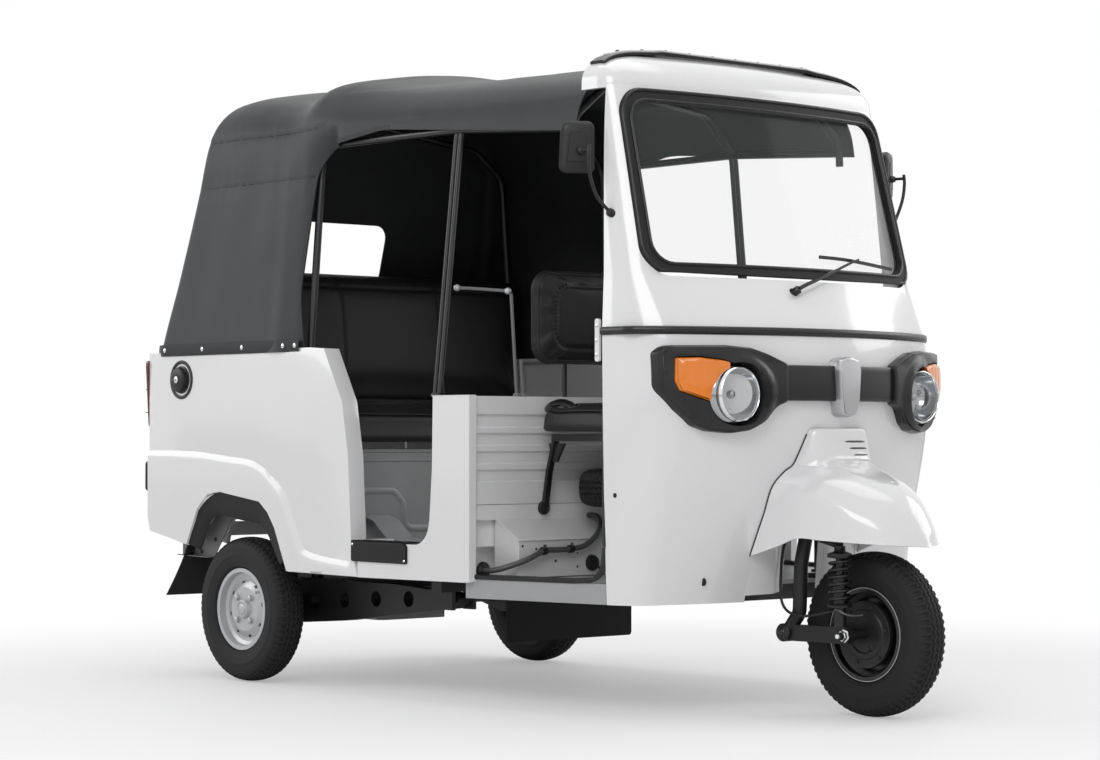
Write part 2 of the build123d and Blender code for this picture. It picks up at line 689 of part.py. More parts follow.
# Rear arms: tapered, pierced, each with its hub plate and stub axle
hub_gap = 8.0
axle_radius = 12.0
with BuildPart() as rear_arms:
    with BuildSketch(Plane.XZ.offset(arm_y - 30)):
        with BuildLine():
            Polyline((-95, 300), (-120, 322), (-420, 340), (-930, 345), (-1055, 290), (-1055, 225),
                     (-930, 192), (-700, 208), (-150, 272), close=True)
        make_face()
        fillet(vertices(), 10)
        with Locations((-350, 295), (-520, 288), (-690, 278), (-850, 268)):
            Circle(26, mode=Mode.SUBTRACT)
    extrude(amount=60)
    with BuildSketch(Plane.XZ.offset(arm_y + 29)):
        with Locations((rear_axle_x, tyre_radius)):
            Circle(42)
    extrude(amount=rear_wheel_y - 56 - arm_y - 29)
    with BuildSketch(Plane.XZ.offset(rear_wheel_y - 56)):
        with Locations((rear_axle_x, tyre_radius)):
            Circle(98)
    extrude(amount=12)
    with BuildSketch(Plane.XZ.offset(rear_wheel_y - 46)):
        with Locations((rear_axle_x, tyre_radius)):
            Circle(axle_radius)
    extrude(amount=76)
    mirror(about=Plane.XZ)

# Rear springs over dampers
with BuildPart() as rear_springs:
    with BuildSketch(Plane.XZ.offset(arm_y)):
        with BuildLine():
            Polyline((-880, 345.5), (-858, 345.5), (-858, 380), (-845, 380), (-845, 600), (-858, 600),
                     (-858, 655), (-880, 655), close=True)
        make_face()
    revolve(axis=Axis((-880, -arm_y, 0), (0, 0, 1)))
    mirror(about=Plane.XZ)

# Engine with its gearbox and drive shafts, one plain block at its real place
with BuildPart() as engine_block:
    with BuildSketch(Plane.XY.offset(235)):
        with Locations((-1180, 0)):
            RectangleRounded(300, 440, 30)
    extrude(amount=375)
    with BuildSketch(Plane.XY.offset(185)):
        with Locations((-1000, 0)):
            RectangleRounded(180, 300, 30)
    extrude(amount=125)
    with BuildSketch(Plane.XZ.offset(-arm_y + 30.3)):
        with Locations((rear_axle_x, tyre_radius)):
            Circle(16)
    extrude(amount=2 * (arm_y - 30.3))

# Rubber apron that hangs across behind the driver's floor
with BuildPart() as rubber_apron:
    with BuildSketch(Plane.YZ.offset(arm_pivot_x + 25.2)):
        with Locations((0, 265)):
            RectangleRounded(550, 214, 12)
    extrude(amount=6)

# Steering head: a tube on two struts that stand on the driver's floor
column_radius = 24.0
column_fit = 0.05
head_low_z = 650.0
head_high_z = 890.0
column_low_z = 590.0
column_high_z = 985.0


def along_column(low, high):
    """Length along the steering axis between two heights."""
    return (high - low) / cos(rake)


with BuildPart() as steering_head:
    with BuildSketch(steering_plane(head_low_z)):
        Circle(column_radius + 12)
    extrude(amount=along_column(head_low_z, head_high_z))
    for y in (-150, 150):
        add(tube([(878, y, driver_floor_z + 2), (steering_x(800) - 16, y * 0.14, 800)], 34, 0))
        with BuildSketch(Plane.XY.offset(driver_floor_z)):
            with Locations((876, y)):
                Rectangle(50, 60)
        extrude(amount=14)
    with BuildSketch(steering_plane(head_low_z - 40)):
        Circle(column_radius + column_fit)
    extrude(amount=along_column(head_low_z, head_high_z) + 90, mode=Mode.SUBTRACT)
    split(bisect_by=Plane.XY.offset(driver_floor_z), keep=Keep.TOP)

# Fork: column, one leg on the right, leading link and stub axle
leg_y = -112.0
link_pivot = (985.0, leg_y, 240.0)
with BuildPart() as steering_fork:
    with BuildSketch(steering_plane(column_low_z)):
        Circle(column_radius)
    extrude(amount=along_column(column_low_z, column_high_z))
    with BuildSketch(steering_plane(column_low_z)):
        Circle(column_radius + 10)
    extrude(amount=along_column(column_low_z, head_low_z) - hub_gap)
    add(tube([(steering_x(610), 0, 610), (1052, -96, 556), (1040, leg_y, 440), (1034, leg_y, 300),
              (985, leg_y, 240)], 42, 40))
    add(tube([(1050, -98, 535), (1196, leg_y, 505)], 26, 0))
    with BuildSketch(Plane.XZ.offset(-leg_y - 13)):
        with BuildLine():
            Polyline((985, 216), (1230, 218), (1255, 242), (1230, 266), (985, 264), (962, 240), close=True)
        make_face()
        fillet(vertices(), 10)
    extrude(amount=26)
    with BuildSketch(Plane.XZ.offset(-48)):
        with Locations((front_axle_x, tyre_radius)):
            Circle(axle_radius)
    extrude(amount=48 + 160)
    # Drum plate inside the rim
    with BuildSketch(Plane.XZ.offset(32)):
        with Locations((front_axle_x, tyre_radius)):
            Circle(98)
    extrude(amount=12)

with BuildPart() as front_damper:
    with BuildSketch(Plane(origin=(1200, leg_y, 0), x_dir=(1, 0, 0), z_dir=(0, -1, 0))):
        with BuildLine():
            Polyline((0, 266.5), (18, 266.5), (18, 330), (31, 330), (31, 470), (16, 470), (16, 490),
                     (0, 490), close=True)
        make_face()
    revolve(axis=Axis((1200, leg_y, 0), (0, 0, 1)))

# Handlebar with grips on the column
bar_z = 1000.0
bar_x = steering_x(bar_z)
with BuildPart() as handlebar:
    half_bar = [(bar_x - 132, 300, 978), (bar_x - 100, 190, 996), (bar_x, 60, bar_z)]
    add(tube([(x, -y, z) for x, y, z in half_bar] + list(reversed(half_bar)), 24, 45))
    for side in (-1, 1):
        add(tube([(bar_x - 134, side * 307, 977), (bar_x - 104, side * 204, 994)], 34, 0))
    with BuildSketch(steering_plane(column_high_z + 0.3)):
        RectangleRounded(90, 60, 12)
    extrude(amount=34)

# Dashboard tray under the windscreen with an instrument pod
dash_z = belt_z + 4
with BuildPart() as dashboard:
    add(cab_outline((dash_z, *cowl_rows[0][1:]), 45, 770))
    extrude(amount=18)
    split(bisect_by=Plane.YZ.offset(900), keep=Keep.TOP)
    with BuildSketch(Plane.YZ.offset(915)):
        with Locations((0, dash_z + 48)):
            RectangleRounded(190, 92, 30)
    extrude(amount=60)


# Wheels
def wheel_section(points, x, y, side):
    """A closed section of radius and outward distance, turned about the axle of one wheel."""
    with BuildSketch(Plane(origin=(x, y, tyre_radius), x_dir=(1, 0, 0), z_dir=(0, 0, side))) as section:
        with BuildLine():
            Polyline(*points, close=True)
        make_face()
    return section.sketch


rim_section = [(136, 45), (136, 41), (128, 39), (127, 20), (112, 14), (112, -14), (127, -20), (128, -39),
               (136, -41), (136, -45), (124, -45), (123, -24), (108, -18), (108, 8), (88, 8), (88, -20),
               (82, -20), (82, 2), (70, 2), (60, 24), (24, 24), (24, 2), (14, 2), (14, 40), (30, 40),
               (34, 30), (74, 30), (95, 18), (108, 18), (123, 25), (124, 45)]
tyre_half = [(129, 36), (138, 38), (142, 48), (168, 56), (200, tyre_half_width), (222, 52), (234, 41),
             (240, 22), (tyre_radius, 6)]
tyre_section = tyre_half + [(radius, -out) for radius, out in reversed(tyre_half)]


def wheel(section, x, y, side):
    """One turned wheel piece."""
    with BuildPart() as piece:
        add(wheel_section(section, x, y, side))
        revolve(axis=Axis((x, y, tyre_radius), (0, 1, 0)))
    return piece


front_rim = wheel(rim_section, front_axle_x, 0, 1)
front_tyre = wheel(tyre_section, front_axle_x, 0, 1)
rear_rim_right = wheel(rim_section, rear_axle_x, -rear_wheel_y, -1)
rear_tyre_right = wheel(tyre_section, rear_axle_x, -rear_wheel_y, -1)
rear_rim_left = wheel(rim_section, rear_axle_x, rear_wheel_y, 1)
rear_tyre_left = wheel(tyre_section, rear_axle_x, rear_wheel_y, 1)

pieces = {
    "cab_lower": cab_lower,
    "cab_upper": cab_upper,
    "windscreen": windscreen,
    "windscreen_seal": windscreen_seal,
    "front_guard": front_guard,
    "headlamp_housings": headlamp_housings,
    "headlamps": headlamps,
    "indicators": indicators,
    "nose_shield": nose_shield,
    "wiper": wiper,
    "mirrors": mirrors,
    "floor_pan": floor_pan,
    "side_sills": side_sills,
    "step_pads": step_pads,
    "quarter_panel_right": quarter_panel_right,
    "quarter_panel_left": quarter_panel_left,
    "tail_panel": tail_panel,
    "engine_lid": engine_lid,
    "tail_lamps": tail_lamps,
    "bumper_blocks": bumper_blocks,
    "fuel_cap": fuel_cap,
    "mudflaps": mudflaps,
    "partition": partition,
    "driver_seat_frame": driver_seat_frame,
    "driver_cushion": driver_cushion,
    "driver_backrest": driver_backrest,
    "backrest_frame": backrest_frame,
    "spare_wheel": spare_wheel,
    "equipment_box": equipment_box,
    "passenger_seat_box": passenger_seat_box,
    "passenger_cushion": passenger_cushion,
    "passenger_backrest": passenger_backrest,
    "canopy": canopy,
    "canopy_frame": canopy_frame,
    "chassis_frame": chassis_frame,
    "rear_arms": rear_arms,
    "rear_springs": rear_springs,
    "engine_block": engine_block,
    "rubber_apron": rubber_apron,
    "steering_head": steering_head,
    "steering_fork": steering_fork,
    "front_damper": front_damper,
    "handlebar": handlebar,
    "dashboard": dashboard,
    "front_rim": front_rim,
    "front_tyre": front_tyre,
    "rear_rim_right": rear_rim_right,
    "rear_tyre_right": rear_tyre_right,
    "rear_rim_left": rear_rim_left,
    "rear_tyre_left": rear_tyre_left,
}

os.makedirs("parts", exist_ok=True)
for name, piece in pieces.items():
    piece.part.label = name
    export_step(piece.part, f"parts/{name}.step")
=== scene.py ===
import json
from math import atan2, cos, exp, hypot, pi, radians, sin, sqrt, tan

import bmesh
import bpy
from mathutils import Matrix, Vector, noise
from mathutils.bvhtree import BVHTree
from mathutils.kdtree import KDTree
from mathutils.geometry import delaunay_2d_cdt


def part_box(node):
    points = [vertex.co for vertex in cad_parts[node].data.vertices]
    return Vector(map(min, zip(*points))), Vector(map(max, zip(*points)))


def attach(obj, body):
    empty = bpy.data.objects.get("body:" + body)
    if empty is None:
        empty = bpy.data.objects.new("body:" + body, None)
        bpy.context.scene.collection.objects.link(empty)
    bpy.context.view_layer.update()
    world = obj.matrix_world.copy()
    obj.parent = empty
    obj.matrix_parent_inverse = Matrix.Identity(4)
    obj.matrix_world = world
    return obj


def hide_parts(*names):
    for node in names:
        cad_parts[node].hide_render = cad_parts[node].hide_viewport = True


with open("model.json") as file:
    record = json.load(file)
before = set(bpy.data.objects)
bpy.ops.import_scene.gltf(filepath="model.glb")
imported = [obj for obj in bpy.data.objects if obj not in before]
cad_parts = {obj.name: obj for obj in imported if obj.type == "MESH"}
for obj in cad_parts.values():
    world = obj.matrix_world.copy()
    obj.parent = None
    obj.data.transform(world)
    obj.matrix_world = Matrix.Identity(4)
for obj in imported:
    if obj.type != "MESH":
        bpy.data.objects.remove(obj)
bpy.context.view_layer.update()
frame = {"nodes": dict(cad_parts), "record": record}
nodes = frame["nodes"]
scene = bpy.context.scene

# Camera at the photograph's viewing angle, worked out for a picture 1100 wide and 760 high
camera_place = Vector((6.768, -6.219, 0.818))
camera_forward = Vector((-0.7459, 0.6657, 0.0204))
camera_lens = 92.2


def add_camera():
    data = bpy.data.cameras.new("camera")
    data.lens = camera_lens
    data.sensor_width = 36
    data.clip_end = 60
    camera = bpy.data.objects.new("camera", data)
    camera.location = camera_place
    camera.rotation_euler = camera_forward.to_track_quat("-Z", "Y").to_euler()
    scene.collection.objects.link(camera)
    scene.camera = camera


def add_light(name, place, target, size, power):
    data = bpy.data.lights.new(name, "AREA")
    data.shape = "RECTANGLE"
    data.size, data.size_y = size
    data.energy = power
    light = bpy.data.objects.new(name, data)
    light.location = place
    light.rotation_euler = (Vector(target) - Vector(place)).to_track_quat("-Z", "Y").to_euler()
    scene.collection.objects.link(light)


def new_nodes(name):
    """A material with its node tree, its shader and its output."""
    made = bpy.data.materials.new(name)
    made.use_nodes = True
    tree = made.node_tree
    return made, tree, tree.nodes["Principled BSDF"]


def add_stage():
    """Pale floor and white surroundings; the floor keeps the shadow."""
    size = 40.0
    mesh = bpy.data.meshes.new("floor")
    mesh.from_pydata([(-size, -size, 0), (size, -size, 0), (size, size, 0), (-size, size, 0)], [],
                     [(0, 1, 2, 3)])
    floor = bpy.data.objects.new("floor", mesh)
    scene.collection.objects.link(floor)
    made, tree, shader = new_nodes("floor_white")
    shader.inputs["Base Color"].default_value = (0.9, 0.9, 0.9, 1)
    shader.inputs["Roughness"].default_value = 0.6
    shader.inputs["Specular IOR Level"].default_value = 0.2
    glow = tree.nodes.new("ShaderNodeEmission")
    glow.inputs["Color"].default_value = (1, 1, 1, 1)
    path = tree.nodes.new("ShaderNodeLightPath")
    spot = tree.nodes.new("ShaderNodeTexCoord")
    away = tree.nodes.new("ShaderNodeVectorMath")
    away.operation = "LENGTH"
    tree.links.new(spot.outputs["Object"], away.inputs[0])
    fade = tree.nodes.new("ShaderNodeMapRange")
    fade.interpolation_type = "SMOOTHSTEP"
    fade.inputs["From Min"].default_value = 1.8
    fade.inputs["From Max"].default_value = 4.2
    fade.inputs["To Min"].default_value = 0.35
    fade.inputs["To Max"].default_value = 1.0
    tree.links.new(away.outputs["Value"], fade.inputs["Value"])
    share = tree.nodes.new("ShaderNodeMath")
    share.operation = "MULTIPLY"
    tree.links.new(path.outputs["Is Camera Ray"], share.inputs[0])
    tree.links.new(fade.outputs[0], share.inputs[1])
    mix = tree.nodes.new("ShaderNodeMixShader")
    tree.links.new(share.outputs[0], mix.inputs[0])
    tree.links.new(shader.outputs[0], mix.inputs[1])
    tree.links.new(glow.outputs[0], mix.inputs[2])
    tree.links.new(mix.outputs[0], tree.nodes["Material Output"].inputs[0])
    mesh.materials.append(made)

    world = bpy.data.worlds.new("studio")
    scene.world = world
    world.use_nodes = True
    tree = world.node_tree
    backdrop = tree.nodes["Background"]
    path = tree.nodes.new("ShaderNodeLightPath")
    seen = tree.nodes.new("ShaderNodeMath")
    seen.operation = "MAXIMUM"
    also = tree.nodes.new("ShaderNodeMath")
    also.operation = "MAXIMUM"
    tree.links.new(path.outputs["Is Camera Ray"], seen.inputs[0])
    tree.links.new(path.outputs["Is Transmission Ray"], seen.inputs[1])
    tree.links.new(seen.outputs[0], also.inputs[0])
    tree.links.new(path.outputs["Is Glossy Ray"], also.inputs[1])
    strength = tree.nodes.new("ShaderNodeMapRange")
    strength.inputs["To Min"].default_value = 0.45
    strength.inputs["To Max"].default_value = 1.0
    tree.links.new(also.outputs[0], strength.inputs["Value"])
    tree.links.new(strength.outputs[0], backdrop.inputs["Strength"])
    backdrop.inputs["Color"].default_value = (1, 1, 1, 1)


def surface(name, colour, roughness, metal=0.0, grain=0.0, scale=200.0, vary=0.0, vary_scale=6.0, coat=0.0,
            shine=0.5):
    """A painted, moulded or rubber surface: slight colour and gloss variation, and a fine grain."""
    made, tree, shader = new_nodes(name)
    shader.inputs["Specular IOR Level"].default_value = shine
    shader.inputs["Metallic"].default_value = metal
    shader.inputs["Coat Weight"].default_value = coat
    shader.inputs["Coat Roughness"].default_value = 0.05
    place = tree.nodes.new("ShaderNodeTexCoord")
    cloud = tree.nodes.new("ShaderNodeTexNoise")
    cloud.inputs["Scale"].default_value = vary_scale
    cloud.inputs["Detail"].default_value = 4
    tree.links.new(place.outputs["Object"], cloud.inputs["Vector"])
    ramp = tree.nodes.new("ShaderNodeValToRGB")
    dark = tuple(c * (1 - vary) for c in colour)
    light = tuple(min(1.0, c * (1 + vary)) for c in colour)
    ramp.color_ramp.elements[0].position = 0.3
    ramp.color_ramp.elements[0].color = (*dark, 1)
    ramp.color_ramp.elements[1].position = 0.7
    ramp.color_ramp.elements[1].color = (*light, 1)
    tree.links.new(cloud.outputs["Fac"], ramp.inputs["Fac"])
    tree.links.new(ramp.outputs["Color"], shader.inputs["Base Color"])
    gloss = tree.nodes.new("ShaderNodeMapRange")
    gloss.inputs["To Min"].default_value = max(0.02, roughness - 0.06)
    gloss.inputs["To Max"].default_value = min(1.0, roughness + 0.06)
    tree.links.new(cloud.outputs["Fac"], gloss.inputs["Value"])
    tree.links.new(gloss.outputs[0], shader.inputs["Roughness"])
    if grain:
        fine = tree.nodes.new("ShaderNodeTexNoise")
        fine.inputs["Scale"].default_value = scale
        fine.inputs["Detail"].default_value = 3
        tree.links.new(place.outputs["Object"], fine.inputs["Vector"])
        bump = tree.nodes.new("ShaderNodeBump")
        bump.inputs["Strength"].default_value = grain
        bump.inputs["Distance"].default_value = 0.001
        tree.links.new(fine.outputs["Fac"], bump.inputs["Height"])
        tree.links.new(bump.outputs[0], shader.inputs["Normal"])
    return made


def glass(name, colour, roughness, alpha):
    """Thin clear glass or a clear lens."""
    made, tree, shader = new_nodes(name)
    shader.inputs["Base Color"].default_value = (*colour, 1)
    shader.inputs["Roughness"].default_value = roughness
    shader.inputs["Alpha"].default_value = alpha
    shader.inputs["Specular IOR Level"].default_value = 0.6
    return made


white_paint = surface("white_paint", (0.80, 0.80, 0.81), 0.16, vary=0.006, coat=0.6, grain=0.02, scale=90)
grey_paint = surface("grey_paint", (0.36, 0.365, 0.37), 0.35, vary=0.03, grain=0.05, scale=150)
black_frame = surface("black_frame", (0.012, 0.012, 0.013), 0.32, vary=0.1)
black_plastic = surface("black_plastic", (0.016, 0.016, 0.017), 0.38, grain=0.25, scale=500, vary=0.08,
                        shine=0.35)
rubber = surface("rubber", (0.018, 0.018, 0.018), 0.6, grain=0.3, scale=300, vary=0.1, shine=0.22)
tyre_rubber = surface("tyre_rubber", (0.018, 0.018, 0.018), 0.62, grain=0.3, scale=260, vary=0.12,
                      shine=0.22)
chrome = surface("chrome", (0.78, 0.79, 0.80), 0.12, metal=1.0, vary=0.01)
shield_silver = surface("shield_silver", (0.50, 0.50, 0.51), 0.3, metal=0.85, grain=0.05, scale=600)
rim_silver = surface("rim_silver", (0.50, 0.51, 0.52), 0.33, metal=0.35, vary=0.03, grain=0.06, scale=400)
rim_black = surface("rim_black", (0.012, 0.012, 0.012), 0.3, vary=0.1, grain=0.05)
steel_black = surface("steel_black", (0.014, 0.014, 0.014), 0.4, vary=0.12, grain=0.15, scale=120,
                      shine=0.35)
white_plastic = surface("white_plastic", (0.70, 0.70, 0.70), 0.32, vary=0.015, grain=0.08, scale=400)
engine_metal = surface("engine_metal", (0.22, 0.22, 0.22), 0.5, metal=0.7, vary=0.1, grain=0.4, scale=60)
amber = surface("amber_lens", (0.86, 0.22, 0.008), 0.12, coat=0.5, vary=0.05)
red_lens = surface("red_lens", (0.10, 0.008, 0.008), 0.12, coat=0.5, vary=0.05)
seat_black = surface("seat_black", (0.022, 0.022, 0.023), 0.42, grain=0.35, scale=900, vary=0.1, shine=0.22)
canopy_grey = surface("canopy_grey", (0.030, 0.032, 0.034), 0.42, grain=0.3, scale=1400, vary=0.08,
                      shine=0.22)
canopy_inside = surface("canopy_inside", (0.030, 0.031, 0.032), 0.6, grain=0.3, scale=1200, vary=0.1,
                        shine=0.2)
canopy_seam = surface("canopy_seam", (0.024, 0.025, 0.027), 0.45, grain=0.35, scale=1600, vary=0.08,
                      shine=0.22)
bracket_grey = surface("bracket_grey", (0.16, 0.16, 0.165), 0.38, vary=0.06, grain=0.1, scale=180)
hose_grey = surface("hose_grey", (0.075, 0.075, 0.078), 0.4, vary=0.12, grain=0.15, scale=240)
gloss_black = surface("gloss_black", (0.014, 0.014, 0.015), 0.27, grain=0.06, scale=420, vary=0.08,
                      shine=0.4)
# lamp_bowl is chrome darkened to grey: painted shade and painted dark reflections for the inside of the
# headlamp
lamp_bowl = surface("lamp_bowl", (0.42, 0.43, 0.44), 0.10, metal=1.0, vary=0.02)
window_glass = glass("window_glass", (0.30, 0.31, 0.31), 0.02, 0.07)
# lamp_glass has a grey base colour: painted shade over the headlamp's lens
lamp_glass = glass("lamp_glass", (0.45, 0.46, 0.47), 0.02, 0.12)

finish = {
    "white_paint": white_paint, "grey_paint": grey_paint, "black_frame": black_frame,
    "black_plastic": black_plastic, "rubber": rubber, "glass": window_glass, "lamp_lens": lamp_glass,
    "amber_lens": amber, "red_lens": red_lens, "housing_plastic": white_plastic, "chrome_trim": shield_silver,
    "canopy_cloth": canopy_grey, "seat_cover": seat_black, "seat_tray": black_frame,
    "engine_metal": engine_metal, "steel_part": steel_black, "rim_silver": rim_silver,
    "rim_black": rim_black, "tyre": tyre_rubber,
}


def shade(mesh, angle):
    """Smooth shading, with edges sharper than the angle left crisp."""
    mesh.shade_smooth()
    mesh.set_sharp_from_angle(angle=radians(angle))


def add_piece(name, verts, faces, slot, body="chassis", mat=None, angle=40, replaces=()):
    """A mesh piece that rides on a body; edges sharper than the angle stay crisp."""
    mesh = bpy.data.meshes.new(name)
    mesh.from_pydata([tuple(v) for v in verts], [], [tuple(f) for f in faces])
    mesh.update()
    piece = bpy.data.objects.new(name, mesh)
    scene.collection.objects.link(piece)
    mesh.materials.append(mat or finish[slot])
    shade(mesh, angle)
    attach(piece, body)
    if replaces:
        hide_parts(*replaces)
    return piece


def apply_modifiers(piece):
    """Bakes the modifiers into the mesh, keeping its materials."""
    graph = bpy.context.evaluated_depsgraph_get()
    baked = bpy.data.meshes.new_from_object(piece.evaluated_get(graph), depsgraph=graph)
    piece.modifiers.clear()
    piece.data = baked
    return piece


def bevel(piece, width, segments=2, angle=35):
    cut = piece.modifiers.new("bevel", "BEVEL")
    cut.width = width
    cut.segments = segments
    cut.limit_method = "ANGLE"
    cut.angle_limit = radians(angle)
    cut.harden_normals = False
    return piece


def cut_away(piece, cutter, operation="DIFFERENCE"):
    """Boolean with a throwaway cutter."""
    tool = piece.modifiers.new("cut", "BOOLEAN")
    tool.operation = operation
    tool.solver = "EXACT"
    tool.object = cutter
    apply_modifiers(piece)
    bpy.data.objects.remove(cutter)


def prism(outline, plane, low, high):
    """A closed prism: outline in the plane "xz", "yz" or "xy", from low to high across it."""
    def at(p, depth):
        if plane == "xz":
            return (p[0], depth, p[1])
        if plane == "yz":
            return (depth, p[0], p[1])
        return (p[0], p[1], depth)
    count = len(outline)
    verts = [at(p, low) for p in outline] + [at(p, high) for p in outline]
    faces = [tuple(range(count)), tuple(range(2 * count - 1, count - 1, -1))]
    faces += [((i + 1) % count, i, i + count, (i + 1) % count + count) for i in range(count)]
    return verts, faces


def cutter(outline, plane, low, high):
    verts, faces = prism(outline, plane, low, high)
    mesh = bpy.data.meshes.new("cutter")
    mesh.from_pydata(verts, [], faces)
    work = bmesh.new()
    work.from_mesh(mesh)
    bmesh.ops.recalc_face_normals(work, faces=work.faces)
    work.to_mesh(mesh)
    work.free()
    tool = bpy.data.objects.new("cutter", mesh)
    scene.collection.objects.link(tool)
    return tool


def rounded(corners, radius, steps=6):
    """A closed outline with its corners rounded; a corner may carry its own radius."""
    out = []
    count = len(corners)
    for i in range(count):
        p = Vector(corners[i][:2])
        r = corners[i][2] if len(corners[i]) > 2 else radius
        before = (Vector(corners[i - 1][:2]) - p)
        after = (Vector(corners[(i + 1) % count][:2]) - p)
        if r <= 0:
            out.append(p)
            continue
        turn = before.angle(after)
        reach = min(r / tan(turn / 2), before.length * 0.48, after.length * 0.48)
        r = reach * tan(turn / 2)
        a = p + before.normalized() * reach
        b = p + after.normalized() * reach
        centre = p + (before.normalized() + after.normalized()).normalized() * (r / sin(turn / 2))
        start, end = a - centre, b - centre
        whole = start.angle_signed(end)
        for k in range(steps + 1):
            spin = Matrix.Rotation(-whole * k / steps, 2)
            out.append(centre + spin @ start)
    return out


def along_curve(p0, p1, p2, p3, t):
    """Point at a share t from p1 to p2 of a smooth curve through four points."""
    return 0.5 * (2 * p1 + (p2 - p0) * t + (2 * p0 - 5 * p1 + 4 * p2 - p3) * t * t
                  + (3 * p1 - p0 - 3 * p2 + p3) * t ** 3)


def ease(share):
    """A share from 0 to 1 with a soft start and end."""
    return share * share * (3 - 2 * share)


def dense_loop(outline, step):
    """A closed outline with points added about a step apart."""
    out = []
    for i in range(len(outline)):
        a, b = outline[i - 1], outline[i]
        parts = max(1, int((b - a).length / step))
        out += [a + (b - a) * k / parts for k in range(parts)]
    return out


def spline(points, step=0.012, closed=False):
    """Points along a smooth curve through the given ones."""
    pts = [Vector(p) for p in points]
    count = len(pts)
    out = []
    spans = count if closed else count - 1
    for i in range(spans):
        p1, p2 = pts[i], pts[(i + 1) % count]
        p0 = pts[i - 1] if closed or i > 0 else p1 * 2 - p2
        p3 = pts[(i + 2) % count] if closed or i + 2 < count else p2 * 2 - p1
        pieces = max(1, int((p2 - p1).length / step))
        for k in range(pieces):
            t = k / pieces
            out.append(along_curve(p0, p1, p2, p3, t))
    if not closed:
        out.append(pts[-1])
    return out


def bent(points, radius, steps=6):
    """Straight runs with round bends, as of a bent tube."""
    pts = [Vector(p) for p in points]
    out = [pts[0]]
    for i in range(1, len(pts) - 1):
        p = pts[i]
        before, after = pts[i - 1] - p, pts[i + 1] - p
        turn = before.angle(after)
        if turn > pi - 0.02:
            out.append(p)
            continue
        reach = min(radius / tan(turn / 2), before.length * 0.49, after.length * 0.49)
        a, b = p + before.normalized() * reach, p + after.normalized() * reach
        for k in range(steps + 1):
            t = k / steps
            out.append(a * (1 - t) ** 2 + p * 2 * t * (1 - t) + b * t * t)
    out.append(pts[-1])
    return out


